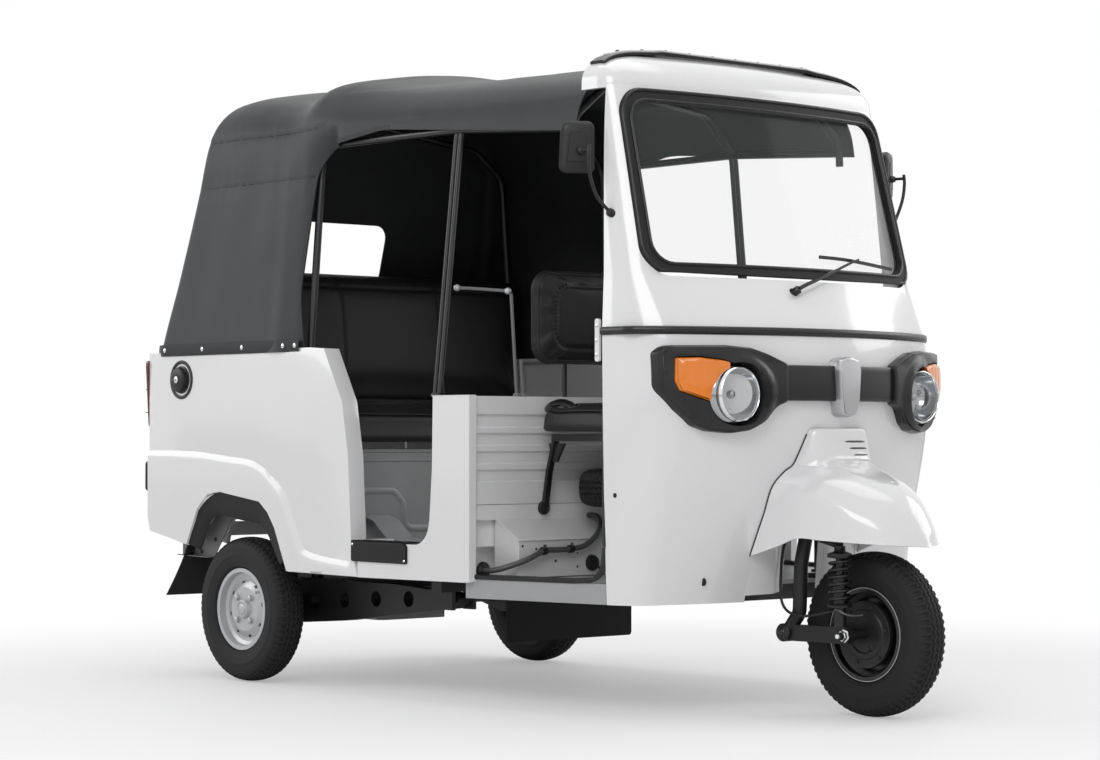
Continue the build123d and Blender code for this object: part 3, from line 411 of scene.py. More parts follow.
class Form:
    """Vertices and faces gathered for one piece."""

    def __init__(self):
        self.verts = []
        self.faces = []

    def add(self, verts, faces):
        base = len(self.verts)
        self.verts += [Vector(v) for v in verts]
        self.faces += [tuple(base + i for i in f) for f in faces]

    def grid(self, rows, closed_across=False, closed_along=False, flip=False):
        """Quads between rows of points."""
        width = len(rows[0])
        faces = []
        for i in range(len(rows) if closed_along else len(rows) - 1):
            for j in range(width if closed_across else width - 1):
                a = i * width + j
                b = i * width + (j + 1) % width
                c = ((i + 1) % len(rows)) * width + (j + 1) % width
                d = ((i + 1) % len(rows)) * width + j
                faces.append((d, c, b, a) if flip else (a, b, c, d))
        self.add([p for row in rows for p in row], faces)

    def close_ends(self, width, count):
        """Faces over both ends of the last grid: so many closed rows of one width."""
        base = len(self.verts) - width * count
        self.faces.append(tuple(range(base + width - 1, base - 1, -1)))
        self.faces.append(tuple(range(base + width * (count - 1), base + width * count)))

    def sweep(self, path, section, up=(0, 0, 1), closed=False, caps=True, scale=None):
        """A closed section of (side, up) offsets carried along a path."""
        path = [Vector(p) for p in path]
        up = Vector(up)
        rows = []
        count = len(path)
        side = None
        for i, p in enumerate(path):
            ahead = path[(i + 1) % count] if closed or i + 1 < count else p
            behind = path[i - 1] if closed or i > 0 else p
            run = (ahead - behind).normalized()
            new_side = run.cross(up)
            if new_side.length < 0.05:
                new_side = side if side is not None else run.orthogonal()
            side = new_side.normalized()
            lift = side.cross(run).normalized()
            k = scale(i / max(1, count - 1)) if scale else 1.0
            rows.append([p + side * a * k + lift * b * k for a, b in section])
        self.grid(rows, closed_across=True, closed_along=closed)
        if caps and not closed:
            self.close_ends(len(section), count)

    def tube(self, path, radius, sides=12, closed=False, scale=None):
        """A round bar; its frame is carried along the path without twist."""
        path = [Vector(p) for p in path]
        count = len(path)
        run = (path[1] - path[0]).normalized()
        across = run.orthogonal().normalized()
        rows = []
        for i, p in enumerate(path):
            ahead = path[(i + 1) % count] if closed or i + 1 < count else p
            behind = path[i - 1] if closed or i > 0 else p
            new_run = (ahead - behind).normalized()
            across = run.rotation_difference(new_run) @ across
            run = new_run
            lift = run.cross(across)
            r = radius * (scale(i / max(1, count - 1)) if scale else 1.0)
            rows.append([p + (across * cos(2 * pi * k / sides) + lift * sin(2 * pi * k / sides)) * r
                         for k in range(sides)])
        self.grid(rows, closed_across=True, closed_along=closed)
        if not closed:
            self.close_ends(sides, count)

    def turned(self, profile, origin, axis, steps=32, close=False):
        """A lathed form: profile of (radius, distance along the axis)."""
        axis = Vector(axis).normalized()
        side = axis.orthogonal().normalized()
        lift = axis.cross(side)
        origin = Vector(origin)
        rows = []
        for k in range(steps):
            a = 2 * pi * k / steps
            out = side * cos(a) + lift * sin(a)
            rows.append([origin + out * r + axis * d for r, d in profile])
        self.grid(rows, closed_across=close, closed_along=True)

    def solid(self, outline, plane, low, high):
        self.add(*prism(outline, plane, low, high))

    def block(self, low, high):
        (x0, y0, z0), (x1, y1, z1) = low, high
        self.add([(x0, y0, z0), (x1, y0, z0), (x1, y1, z0), (x0, y1, z0),
                  (x0, y0, z1), (x1, y0, z1), (x1, y1, z1), (x0, y1, z1)],
                 [(3, 2, 1, 0), (4, 5, 6, 7), (0, 1, 5, 4), (1, 2, 6, 5), (2, 3, 7, 6), (3, 0, 4, 7)])

    def mirrored(self):
        """Adds the same form on the other side of the vehicle."""
        base = len(self.verts)
        self.verts += [Vector((v.x, -v.y, v.z)) for v in self.verts[:base]]
        self.faces += [tuple(base + i for i in reversed(f)) for f in self.faces]

    def make(self, name, slot, body="chassis", mat=None, angle=40, replaces=(), weld=0.0):
        piece = add_piece(name, self.verts, self.faces, slot, body, mat, angle, replaces)
        work = bmesh.new()
        work.from_mesh(piece.data)
        bmesh.ops.remove_doubles(work, verts=work.verts, dist=max(weld, 1e-6))
        bmesh.ops.dissolve_degenerate(work, edges=work.edges, dist=1e-7)
        bmesh.ops.recalc_face_normals(work, faces=work.faces)
        work.to_mesh(piece.data)
        work.free()
        shade(piece.data, angle)
        return piece


def tree_of(*names):
    """Rays can be cast at these CAD nodes."""
    verts, faces = [], []
    for name in names:
        mesh = nodes[name].data
        base = len(verts)
        verts += [v.co.copy() for v in mesh.vertices]
        faces += [[base + i for i in p.vertices] for p in mesh.polygons]
    return BVHTree.FromPolygons(verts, faces)


def struck(tree, start, along):
    """Where a ray from a point first meets a surface, or None."""
    return tree.ray_cast(Vector(start), Vector(along))[0]


cab_tree = tree_of("cab_lower")
upper_tree = tree_of("cab_upper")


def cab_x(y, z, tree=None):
    """X of the cab's front at a height and side."""
    hit = struck(tree or cab_tree, (3, y, z), (-1, 0, 0))
    return hit.x if hit else None


def inside(point, outline):
    """Whether a point lies in a closed outline."""
    x, y = point[0], point[1]
    odd = False
    for i in range(len(outline)):
        (x1, y1), (x2, y2) = outline[i - 1][:2], outline[i][:2]
        if (y1 > y) != (y2 > y) and x < (x2 - x1) * (y - y1) / (y2 - y1) + x1:
            odd = not odd
    return odd


def filled(outline, holes=(), spacing=0.012):
    """A triangulated face in two dimensions between an outline and its holes, with points inside."""
    loops = [outline, *holes]
    points, edges = [], []
    for loop in loops:
        base = len(points)
        points += [Vector(p[:2]) for p in loop]
        edges += [(base + i, base + (i + 1) % len(loop)) for i in range(len(loop))]
    xs, ys = [p[0] for p in outline], [p[1] for p in outline]
    rows = int((max(ys) - min(ys)) / spacing)
    for j in range(1, rows):
        y = min(ys) + j * spacing
        for i in range(1, int((max(xs) - min(xs)) / spacing)):
            p = Vector((min(xs) + (i + 0.5 * (j % 2)) * spacing, y))
            if inside(p, outline) and not any(inside(p, hole) for hole in holes):
                if min((p - q).length for loop in loops for q in map(lambda v: Vector(v[:2]),
                                                                     loop)) > spacing * 0.55:
                    points.append(p)
    got = delaunay_2d_cdt(points, edges, [], 0, 1e-6)
    verts, faces = got[0], got[2]
    kept = []
    for f in faces:
        middle = sum((verts[i] for i in f), Vector((0, 0))) / len(f)
        if inside(middle, outline) and not any(inside(middle, hole) for hole in holes):
            kept.append(f)
    return verts, kept


def shrunk(outline, by):
    """The same closed outline moved inwards (or outwards, if by is negative)."""
    if not by:
        return outline
    out = []
    count = len(outline)
    area = sum(outline[i - 1][0] * outline[i][1] - outline[i][0] * outline[i - 1][1] for i in range(count))
    hand = 1 if area > 0 else -1
    for i in range(count):
        a = Vector(outline[i - 1][:2])
        b = Vector(outline[(i + 1) % count][:2])
        run = (b - a).normalized()
        out.append(Vector(outline[i][:2]) + Vector((-run.y, run.x)) * hand * by)
    return out


# Canopy: one sheet over the hoops, shaped by its sections and by noise, without a cloth simulation
def smooth_table(table, x):
    """Smooth value from a table of (x, value)."""
    if x <= table[0][0]:
        return table[0][1]
    for i in range(len(table) - 1):
        (x1, v1), (x2, v2) = table[i], table[i + 1]
        if x <= x2:
            v0 = table[i - 1][1] if i else v1
            x0 = table[i - 1][0] if i else x1 - (x2 - x1)
            v3 = table[i + 2][1] if i + 2 < len(table) else v2
            x3 = table[i + 2][0] if i + 2 < len(table) else x2 + (x2 - x1)
            m1 = (v2 - v0) / (x2 - x0) * (x2 - x1)
            m2 = (v3 - v1) / (x3 - x1) * (x2 - x1)
            t = (x - x1) / (x2 - x1)
            return ((2 * t ** 3 - 3 * t * t + 1) * v1 + (t ** 3 - 2 * t * t + t) * m1
                    + (-2 * t ** 3 + 3 * t * t) * v2 + (t ** 3 - t * t) * m2)
    return table[-1][1]


cloth_thickness = 0.0035
canopy_low_z = 1.098
canopy_crown = [(-1.30, 2.026), (-1.20, 2.038), (-1.12, 2.044), (-1.02, 2.036), (-0.90, 2.018),
                (-0.80, 2.012),
                (-0.735, 2.024), (-0.68, 2.048), (-0.62, 2.054), (-0.52, 2.043), (-0.40, 2.024),
                (-0.25, 2.008), (0.0, 1.995), (0.30, 1.986), (0.60, 1.978)]
canopy_belt = [(-1.5, 0.7235), (-0.6, 0.7225), (0.6, 0.70)]
canopy_rail = [(-1.5, 0.654), (-0.75, 0.652), (-0.62, 0.660), (-0.3, 0.646), (0.6, 0.614)]
canopy_back = [(1.0, -1.482), (1.112, -1.454), (1.40, -1.374), (1.673, -1.300), (1.83, -1.273),
               (1.93, -1.258),
               (1.99, -1.232), (2.03, -1.19), (2.06, -1.12)]


def canopy_arch(x):
    """Half of the canopy's cross-section at x: from the bottom edge to the crown."""
    crown = smooth_table(canopy_crown, x)
    belt = smooth_table(canopy_belt, x)
    rail = smooth_table(canopy_rail, x)
    rail_z = crown - 0.245
    return [Vector(p) for p in (
        (belt, canopy_low_z), (belt + (rail - belt) * 0.33 - 0.003,
                               canopy_low_z + (rail_z - canopy_low_z) * 0.33),
        (belt + (rail - belt) * 0.70, canopy_low_z + (rail_z - canopy_low_z) * 0.70), (rail, rail_z),
        (rail - 0.022, crown - 0.165), (rail - 0.070, crown - 0.104), (rail - 0.142, crown - 0.066),
        (0.36, crown - 0.034), (0.18, crown - 0.009), (0.0, crown))]


def arch_point(arch, t):
    """Point at a share of the half arch, bottom 0 to crown 1."""
    spans = len(arch) - 1
    s = min(t * spans, spans - 1e-9)
    i = int(s)
    t = s - i
    p1, p2 = arch[i], arch[i + 1]
    p0 = arch[i - 1] if i else p1 * 2 - p2
    p3 = arch[i + 2] if i + 2 < len(arch) else Vector((-arch[-2].x, arch[-2].y))
    return along_curve(p0, p1, p2, p3, t)


seam_heights = (1.832, 1.674)
opening_corners = [(-0.612, 0.95, 0), (-0.612, 1.11, 0.0), (-0.648, 1.29, 0.3), (-0.603, 1.69, 0.12),
                   (-0.53, 1.768, 0.2), (-0.29, 1.802, 0.3), (0.76, 1.716, 0), (0.76, 0.95, 0)]


def canopy_give(x, y, z):
    """How far the cloth stands out from its plain form: slack folds, seam puckers and stretch lines."""
    side = 1 if y > 0 else -1
    out = 0.0030 * noise.noise(Vector((x * 2.6, y * 2.0, z * 2.2 + 7)))
    out += 0.0012 * noise.noise(Vector((x * 9, y * 7, z * 5)))
    if z < 1.83 and x < -0.5:
        drop = min(1.0, max(0.0, (1.83 - z) / 0.1))
        out += 0.0032 * drop * noise.noise(Vector((x * 9.0, y * 9.0, z * 1.3 + 3 * side)))
        out -= 0.012 * drop * max(0.0, (x + 0.74) / 0.12) ** 2 if x > -0.74 else 0
        out += 0.006 * drop * max(0.0, 1 - abs(x + 0.745) / 0.055)
    for level in seam_heights:
        if x < -0.55:
            near = max(0.0, 1 - abs(z - level) / 0.05)
            along = x * 1.0 + y * 1.0
            out += near * near * (0.0022 * sin(along * 150 + 4 * noise.noise(Vector((x * 8, y * 8,
                                                                                     level)))) - 0.002)
            out -= 0.0025 * max(0.0, 1 - abs(z - level) / 0.012)
    if z > 1.83 and x > -0.62:
        out += 0.0025 * sin(z * 42 + x * 1.4) * max(0.0, 1 - abs(abs(y) - 0.62) / 0.07)
    hoop = min(abs(x - h) for h in (-1.165, -0.62, 0.07, 0.56))
    if z > 1.95:
        out -= 0.007 * min(1.0, hoop / 0.25) * (1 if x > -0.55 else 0)
    return out


def canopy_grid(offset=0.0, give=True, across=64, along=110):
    """Rows of points: along the tunnel from the front to the back, then over the back panel."""
    radius = 0.055
    shares = [k / across for k in range(across + 1)]
    rows = []
    back_steps = [0.02, 0.09, 0.2, 0.36, 0.55, 0.75, 1.0]
    front = 0.600

    def section_at(k, t):
        base = arch_point(canopy_arch(-1.15), t)
        edge = smooth_table(canopy_back, base.y) + radius
        x = front + (edge - front) * k
        p = arch_point(canopy_arch(x), t)
        return x, p.x, p.y

    for i in range(along + 1):
        rows.append([section_at(i / along, t) for t in shares])
    rim = rows[-1]
    for turn in back_steps:
        a = turn * pi / 2
        row = []
        for x, y, z in rim:
            inward = radius * (1 - cos(a))
            length = hypot(y, z - canopy_low_z) or 1.0
            row.append((x - radius * sin(a), y * (1 - inward / length),
                        z - (z - canopy_low_z) * inward / length))
        rows.append(row)
    edge = rows[-1]
    caps = 26
    for i in range(1, caps):
        k = 1 - i / caps
        row = []
        for x, y, z in edge:
            z2 = canopy_low_z + (z - canopy_low_z) * k
            flat = smooth_table(canopy_back, z2)
            blend = min(1.0, i / 2)
            row.append((x + (flat - x) * blend if i < 2 else flat, y * k, z2))
        rows.append(row)
    out = []
    for row in rows:
        out.append([Vector((x, -y, z)) for x, y, z in row] + [Vector((x, y, z)) for x, y, z in row[-2::-1]])
    if not give and not offset:
        return out
    moved = []
    for i, row in enumerate(out):
        new = []
        for j, p in enumerate(row):
            a = out[min(i + 1, len(out) - 1)][j] - out[max(i - 1, 0)][j]
            b = row[min(j + 1, len(row) - 1)] - row[max(j - 1, 0)]
            normal = b.cross(a)
            if normal.length < 1e-9:
                normal = Vector((-1, 0, 0))
            normal.normalize()
            if normal.dot(p - Vector((max(p.x, -0.95) + 0.02, 0, 1.4))) < 0:
                normal.negate()
            new.append(p + normal * (offset + (canopy_give(*p) if give else 0)))
        moved.append(new)
    return moved


def make_canopy():
    """The canopy's cover with its side openings and rear window."""
    form = Form()
    rows = canopy_grid()
    form.grid(rows)
    piece = form.make("canopy_cover", "canopy_cloth", replaces=["canopy"], angle=60)
    piece.data.materials.append(canopy_inside)
    thick = piece.modifiers.new("thick", "SOLIDIFY")
    thick.thickness = cloth_thickness
    thick.offset = -1
    thick.material_offset = 1
    thick.material_offset_rim = 0
    apply_modifiers(piece)
    cut_away(piece, cutter(rounded(opening_corners, 0.1, 8), "xz", -0.9, 0.9))
    cut_away(piece, cutter(rounded([(-0.2, 1.37), (0.2, 1.37), (0.2, 1.59), (-0.2, 1.59)], 0.05, 6), "yz",
                           -1.6, -1.2))
    shade(piece.data, 50)
    return piece


canopy_tree = None


def canopy_y(x, z):
    """Y of the canopy's right side at x and a height."""
    hit = struck(canopy_tree, (x, -2, z), (0, 1, 0))
    return hit.y if hit else None


def make_canopy_trim():
    """Seam tapes, the hems round the openings and along the foot, and the rivets."""
    tape = Form()
    half = 0.0045
    for level in seam_heights:
        rows = []
        path = [(x / 100, level) for x in range(-62, -125, -2)]
        for x, z in path:
            rows.append([Vector((x, canopy_y(x, z + d) - lift, z + d)) for d, lift in
                         ((-half - 0.001, -0.001), (-half, 0.0012), (half, 0.0012),
                          (half + 0.001, -0.001))])
        tape.grid(rows)
    for z in seam_heights:
        rows = []
        for k in range(-58, 59, 2):
            y = k / 100
            row = []
            for d, lift in ((-half - 0.001, -0.001), (-half, 0.0012), (half, 0.0012),
                            (half + 0.001, -0.001)):
                hit = struck(canopy_tree, (-2, y, z + d), (1, 0, 0))
                row.append(Vector((hit.x - lift, y, z + d)))
            rows.append(row)
        tape.grid(rows)
    tape.mirrored()
    tape.make("canopy_seams", "canopy_cloth", mat=canopy_seam, angle=30)

    edge = rounded(opening_corners, 0.1, 10)
    line = [p for p in edge if -0.66 < p.x < 0.60 and p.y > 1.105]
    dense = spline([(p.x, p.y, 0) for p in line], 0.015)
    hem = Form()
    rows = []
    for i, p in enumerate(dense):
        a = dense[max(0, i - 1)]
        b = dense[min(len(dense) - 1, i + 1)]
        run = (b - a).normalized()
        away = Vector((-run.y, run.x, 0))
        if away.x > 0 and p.x < -0.55 or away.y < 0 and p.x > -0.5:
            away.negate()
        row = []
        for out, lift in ((-0.001, -0.002), (-0.0015, 0.0012), (0.013, 0.0016), (0.0145, -0.0005)):
            q = p + away * out
            probe = p + away * max(out, 0.003)
            y = canopy_y(min(probe.x, 0.597), probe.y)
            if y is None:
                y = canopy_y(min(p.x + away.x * 0.006, 0.595), p.y + away.y * 0.006)
            row.append(Vector((min(q.x, 0.6), (y if y is not None else rows[-1][0].y) - lift, q.y)))
        rows.append(row)
    hem.grid(rows)
    hem.mirrored()
    hem.make("canopy_opening_hems", "canopy_cloth", mat=canopy_seam, angle=30)

    foot = Form()
    track = [(-0.617, -0.7245), (-0.9, -0.7262), (-1.30, -0.7268), (-1.40, -0.7262), (-1.437, -0.714),
             (-1.4545, -0.688), (-1.4575, -0.6), (-1.4575, 0.0)]
    path = spline([(x, y, 0) for x, y in track], 0.02)
    path += [Vector((p.x, -p.y, 0)) for p in path[-2::-1]]
    rows = []
    for p in path:
        out = Vector((p.x + 1.0, p.y, 0)) if p.x < -1.40 else Vector((0, p.y, 0))
        out = out.normalized()
        rows.append([Vector((p.x, p.y, z)) + out * lift for z, lift in
                     ((1.138, -0.004), (1.137, 0.0005), (1.119, 0.0022), (1.101, 0.0008),
                      (1.0985, -0.003))])
    foot.grid(rows)
    foot.make("canopy_foot_hem", "canopy_cloth", mat=canopy_seam, angle=50)

    dots = Form()
    rivet = [(0.0, 0.0052), (0.004, 0.0050), (0.0075, 0.0036), (0.0085, 0.0), (0.0085, -0.002)]
    rivet_z = 1.118
    for x in (-1.385, -1.16, -0.93, -0.70, -0.635):
        dots.turned(rivet, (x, -0.7262, rivet_z), (0, -1, 0), 16)
    for y in (-0.55, -0.3, 0, 0.3, 0.55):
        dots.turned(rivet, (-1.4585, y, rivet_z), (-1, 0, 0), 16)
    dots.mirrored()
    dots.make("canopy_rivets", "chrome_trim", mat=chrome)


# Nose: lamp band with its pods, lamps, indicators and shield
lamp_x, lamp_y, lamp_z = 1.024, 0.398, 0.943
pod_outline = [(0.232, 0.921, 0.02), (0.232, 1.033, 0.02), (0.301, 1.062, 0.08), (0.350, 1.078, 0.05),
               (0.430, 1.085, 0.05), (0.585, 1.083, 0.03), (0.603, 1.062, 0.02), (0.603, 0.958, 0.05),
               (0.560, 0.897, 0.05), (0.512, 0.851, 0.04), (0.470, 0.836, 0.04), (0.408, 0.830, 0.05),
               (0.350, 0.838, 0.05), (0.305, 0.862, 0.06), (0.270, 0.908, 0.05)]
indicator_outline = [(0.575, 1.050, 0.006), (0.577, 0.980, 0.01), (0.566, 0.950, 0.01),
                     (0.452, 0.907, 0.004),
                     (0.440, 0.905, 0.0), (0.424, 1.036, 0.0), (0.452, 1.045, 0.01), (0.514, 1.052, 0.01)]


def on_nose(y, z, out):
    """A point out from the cab's front, along its surface direction."""
    x = cab_x(y, z)
    return Vector((x + out, y, z)) if x is not None else None


def nose_layer(form, outline, holes, rings, spacing=0.010, bulge=None):
    """A raised panel: walls up the outline through rings of (inward, out), then a filled face."""
    loops = [[(q, out) for q in shrunk(outline, inward)] for inward, out in rings]
    rows = [[on_nose(q[0], q[1], out) for q, out in loop] for loop in loops]
    form.grid(rows, closed_across=True)
    inner = [Vector(q[:2]) for q, _ in loops[-1]]
    top = rings[-1][1]
    verts, faces = filled(inner, holes, spacing)
    lifted = []
    for v in verts:
        extra = bulge(v[0], v[1]) if bulge else 0
        lifted.append(on_nose(v[0], v[1], top + extra))
    form.add(lifted, faces)


def circle(y, z, r, count=48):
    return [Vector((y + r * cos(2 * pi * k / count),
                    z + r * sin(2 * pi * k / count))) for k in range(count)]


def make_nose():
    """Lamp band, headlamps, indicators, shield and screws on the cab's front."""
    band = Form()
    recess = 0.092

    def brow(y, z):
        """The pod stands further out in a ring round the lamp and under its top edge."""
        away = hypot(y - lamp_y, z - lamp_z)
        ring = max(0.0, 1 - abs(away - recess - 0.004) / 0.030)
        ring = ease(ring)
        inner = 1 if y < lamp_y else max(0.0, 1 - (y - lamp_y) / 0.05)
        top = max(0.0, min(1.0, (z - 1.035) / 0.03)) * 0.006
        return 0.016 * ring * max(inner, 0.25) + top

    indicator = rounded(indicator_outline, 0.006, 4)
    ring = circle(lamp_y, lamp_z, recess, 96)
    first = next(i for i in range(96) if not inside(ring[i], indicator) and inside(ring[i - 1], indicator))
    ring = ring[first:] + ring[:first]
    cut = [p for p in ring if not inside(p, indicator)]
    outer = [p for p in indicator if hypot(p.x - lamp_y, p.y - lamp_z) > recess]
    if (outer[0] - cut[-1]).length > (outer[-1] - cut[-1]).length:
        outer.reverse()
    far = max(range(len(outer)), key=lambda i: (outer[i] - outer[i - 1]).length)
    outer = outer[far:] + outer[:far]
    if (outer[0] - cut[-1]).length > (outer[-1] - cut[-1]).length:
        outer.reverse()
    opening = cut + outer
    pod = rounded(pod_outline, 0.03, 5)
    nose_layer(band, pod, [opening], [(0.0, -0.004), (0.0, 0.028), (0.002, 0.034), (0.006, 0.037)],
               spacing=0.009, bulge=brow)
    rows = []
    for out, inward in ((None, 0.0), (0.012, 0.004), (-0.004, 0.006)):
        rows.append([on_nose(q.x, q.y, (0.037 + brow(q.x, q.y)) if out is None else out)
                     for q in shrunk(opening, inward)])
    band.grid(rows, closed_across=True)
    band.mirrored()
    strip = rounded([(-0.236, 0.925), (0.236, 0.925), (0.236, 1.030), (-0.236, 1.030)], 0.003, 2)
    dense = dense_loop(strip, 0.02)
    nose_layer(band, dense, [], [(0.0, -0.004), (0.0, 0.018), (0.002, 0.0225), (0.006, 0.024)],
               spacing=0.014)
    band.make("lamp_band", "black_plastic", mat=gloss_black, replaces=["headlamp_housings"], angle=35)

    bowl = Form()
    for side in (-1, 1):
        c = (lamp_x, side * lamp_y, lamp_z)
        profile = [(0.012, -0.03), (0.03, -0.022), (0.052, -0.004), (0.068, 0.022), (0.0735, 0.040),
                   (0.079, 0.042),
                   (0.079, 0.030), (0.086, 0.028), (0.0905, 0.020), (0.0905, -0.02)]
        bowl.turned(profile, c, (1, 0, 0), 56)
        bowl.turned([(0.0, 0.018), (0.010, 0.016), (0.0125, 0.008), (0.0125, -0.03)], c, (1, 0, 0), 24)
        for k in range(6):
            a = 2 * pi * k / 6 + 0.3
            bowl.turned([(0.0, 0.0), (0.007, -0.002), (0.010, -0.012)],
                        (lamp_x, side * lamp_y + 0.05 * cos(a), lamp_z + 0.05 * sin(a)), (1, 0, 0), 12)
    bowl.make("headlamp_bowls", "chrome_trim", mat=lamp_bowl, angle=50)
    lens = Form()
    for side in (-1, 1):
        profile = [(0.076 * sin(a), 0.046 + 0.014 * cos(a)) for a in [k * pi / 2 / 10 for k in range(11)]]
        profile += [(0.0755, 0.041)]
        lens.turned(profile, (lamp_x, side * lamp_y, lamp_z), (1, 0, 0), 56)
    lens.make("headlamp_lenses", "lamp_lens", replaces=["headlamps"], angle=60)
    rims = Form()
    for side in (-1, 1):
        rims.turned([(0.0745, 0.040), (0.0745, 0.047), (0.077, 0.050), (0.0805, 0.048), (0.082, 0.040)],
                    (lamp_x, side * lamp_y, lamp_z), (1, 0, 0), 56)
    rims.make("headlamp_rims", "chrome_trim", mat=chrome, angle=60)

    amber_form = Form()
    body = shrunk(rounded(indicator_outline, 0.006, 4), 0.0035)
    keep = [p for p in body if hypot(p.x - lamp_y, p.y - lamp_z) > 0.083]

    def dome(y, z):
        edge = min((Vector((y, z)) - q).length for q in body)
        return 0.008 * (1 - max(0.0, 1 - edge / 0.02) ** 2) + 0.0012 * (int((y - 0.4) / 0.014) % 2)

    arc = [q for q in circle(lamp_y, lamp_z, 0.083, 120) if inside(q, body)]
    nose_layer(amber_form, order_loop(keep, arc), [], [(0.0, 0.004), (0.0, 0.038), (0.002, 0.041)],
               spacing=0.006, bulge=dome)
    amber_form.mirrored()
    amber_form.make("indicator_lenses", "amber_lens", replaces=["indicators"], angle=25)

    shield = Form()
    outline = rounded([(0.043, 0.930, 0.02), (0.049, 1.018, 0.03), (0.042, 1.047, 0.014),
                       (0.0, 1.060, 0.08),
                       (-0.042, 1.047, 0.014), (-0.049, 1.018, 0.03), (-0.043, 0.930, 0.02),
                       (-0.031, 0.884, 0.012), (0.0, 0.876, 0.06), (0.031, 0.884, 0.012)], 0.02, 5)
    nose_layer(shield, outline, [], [(0.0, 0.001), (0.0, 0.036), (0.003, 0.043), (0.008, 0.046)],
               spacing=0.008,
               bulge=lambda y, z: 0.004 * max(0.0, 1 - (y / 0.04) ** 2))
    shield.make("nose_shield_cover", "chrome_trim", mat=shield_silver, replaces=["nose_shield"], angle=30)

    screws = Form()
    for y, z in ((0.590, 1.005), (0.528, 0.880)):
        p = on_nose(y, z, 0.037)
        screws.turned([(0.0, 0.001), (0.004, 0.001), (0.0055, -0.001), (0.0055, -0.004)], p, (0.9, 0.35, 0),
                      14)
    screws.mirrored()
    screws.make("lamp_band_screws", "black_plastic", angle=40)


def order_loop(keep, arc):
    """A closed loop from an open outline and the arc that closes it."""
    gap = max(range(len(keep)), key=lambda i: (keep[i] - keep[i - 1]).length)
    keep = keep[gap:] + keep[:gap]
    centre = Vector((lamp_y, lamp_z))
    arc = sorted(arc, key=lambda q: atan2((q - centre).y, (q - centre).x))
    if (arc[0] - keep[-1]).length > (arc[-1] - keep[-1]).length:
        arc.reverse()
    return keep + arc


def make_belt_strip():
    """Black strip round the cab where its halves meet."""
    form = Form()
    tree = cab_tree
    path = []
    half = 0.640
    for k in range(0, 9):
        path.append(Vector((0.745 + 0.015 * k, -half, 1.128)))
    for k in range(-60, 61, 2):
        y = k / 100
        hit = struck(tree, (3, y, 1.1245), (-1, 0, 0))
        path.append(Vector((hit.x, y, 1.128)))
    for k in range(8, -1, -1):
        path.append(Vector((0.745 + 0.015 * k, half, 1.128)))
    line = spline([path[i] for i in range(0, len(path), 2)] + [path[-1]], 0.02)
    section = [(0.002, -0.012), (-0.004, -0.012), (-0.0085, -0.008), (-0.0095, 0.0), (-0.0085, 0.008),
               (-0.004, 0.012), (0.002, 0.012)]
    form.sweep(line, [(-a, b) for a, b in section])
    form.make("belt_strip", "rubber", mat=gloss_black, angle=50)


# Wheels: treaded tyres, hub and rim details
mm = 0.001
tyre_radius = 0.242
front_axle = Vector((1.230, 0, tyre_radius))
rear_axle_x, rear_wheel_y = -0.990, 0.641
lugs = 66
steps_per_lug = 6
sidewall = [(129, 36), (134, 37.2), (138, 38), (140.5, 43), (143, 48.5), (147, 50.5), (149, 52.4),
            (151, 51.8),
            (160, 54.8), (172, 56.6), (178, 57.0), (180, 57.9), (186, 57.9), (188, 57.1), (200, 57.3),
            (212, 55.6), (218, 53.6)]
shoulder = [(222, 52.0), (226, 49.4), (230, 46.0), (233, 42.6), (235, 39.4)]
crown = [(236.6, 36.0), (237.6, 33), (238.4, 30), (239.0, 27), (239.6, 24.4), (240.2, 21.6), (240.6, 19),
         (241.0, 16.4), (241.3, 13.8), (241.5, 11), (241.7, 8.4), (241.9, 5.8), (242.0, 3), (242.0, 0)]


def tread_depth(y, phase, side_face):
    """Groove depth in millimetres: zigzag grooves round the tyre and notches across its shoulders."""
    swing = abs((phase * 2) % 2 - 1) * 6 - 3
    depth = 0.0
    for place in (-17.5, 0.0, 17.5):
        if abs(y - place - swing * 0.8) < 2.3:
            depth = 5.5
    notch = (phase + (0.5 if y > 0 else 0.0)) % 1.0
    if abs(y) > 26 and notch < 0.34:
        depth = 5.5 if not side_face else 4.0
    return depth


def make_tyre(name, place, axis, body, replaces):
    """A tyre whose tread is cut into its surface; the axis points outwards."""
    form = Form()
    half = [(r, y, 0) for r, y in sidewall] + [(r, y, 1) for r, y in shoulder] + [(r, y, 2) for r,
                                                                                  y in crown]
    section = half + [(r, -y, kind) for r, y, kind in half[-2::-1]]
    axis = Vector(axis).normalized()
    side = axis.orthogonal().normalized()
    lift = axis.cross(side)
    rows = []
    count = lugs * steps_per_lug
    for k in range(count):
        angle = 2 * pi * k / count
        phase = (k % steps_per_lug) / steps_per_lug
        out = side * cos(angle) + lift * sin(angle)
        row = []
        for r, y, kind in section:
            cut = tread_depth(y, phase, kind == 1) if kind else 0.0
            if kind == 1 and r < 226:
                cut *= 0.4
            row.append(place + out * ((r - cut) * mm) + axis * (y * mm))
        rows.append(row)
    form.grid(rows, closed_along=True)
    return form.make(name, "tyre", body=body, replaces=replaces, angle=28)


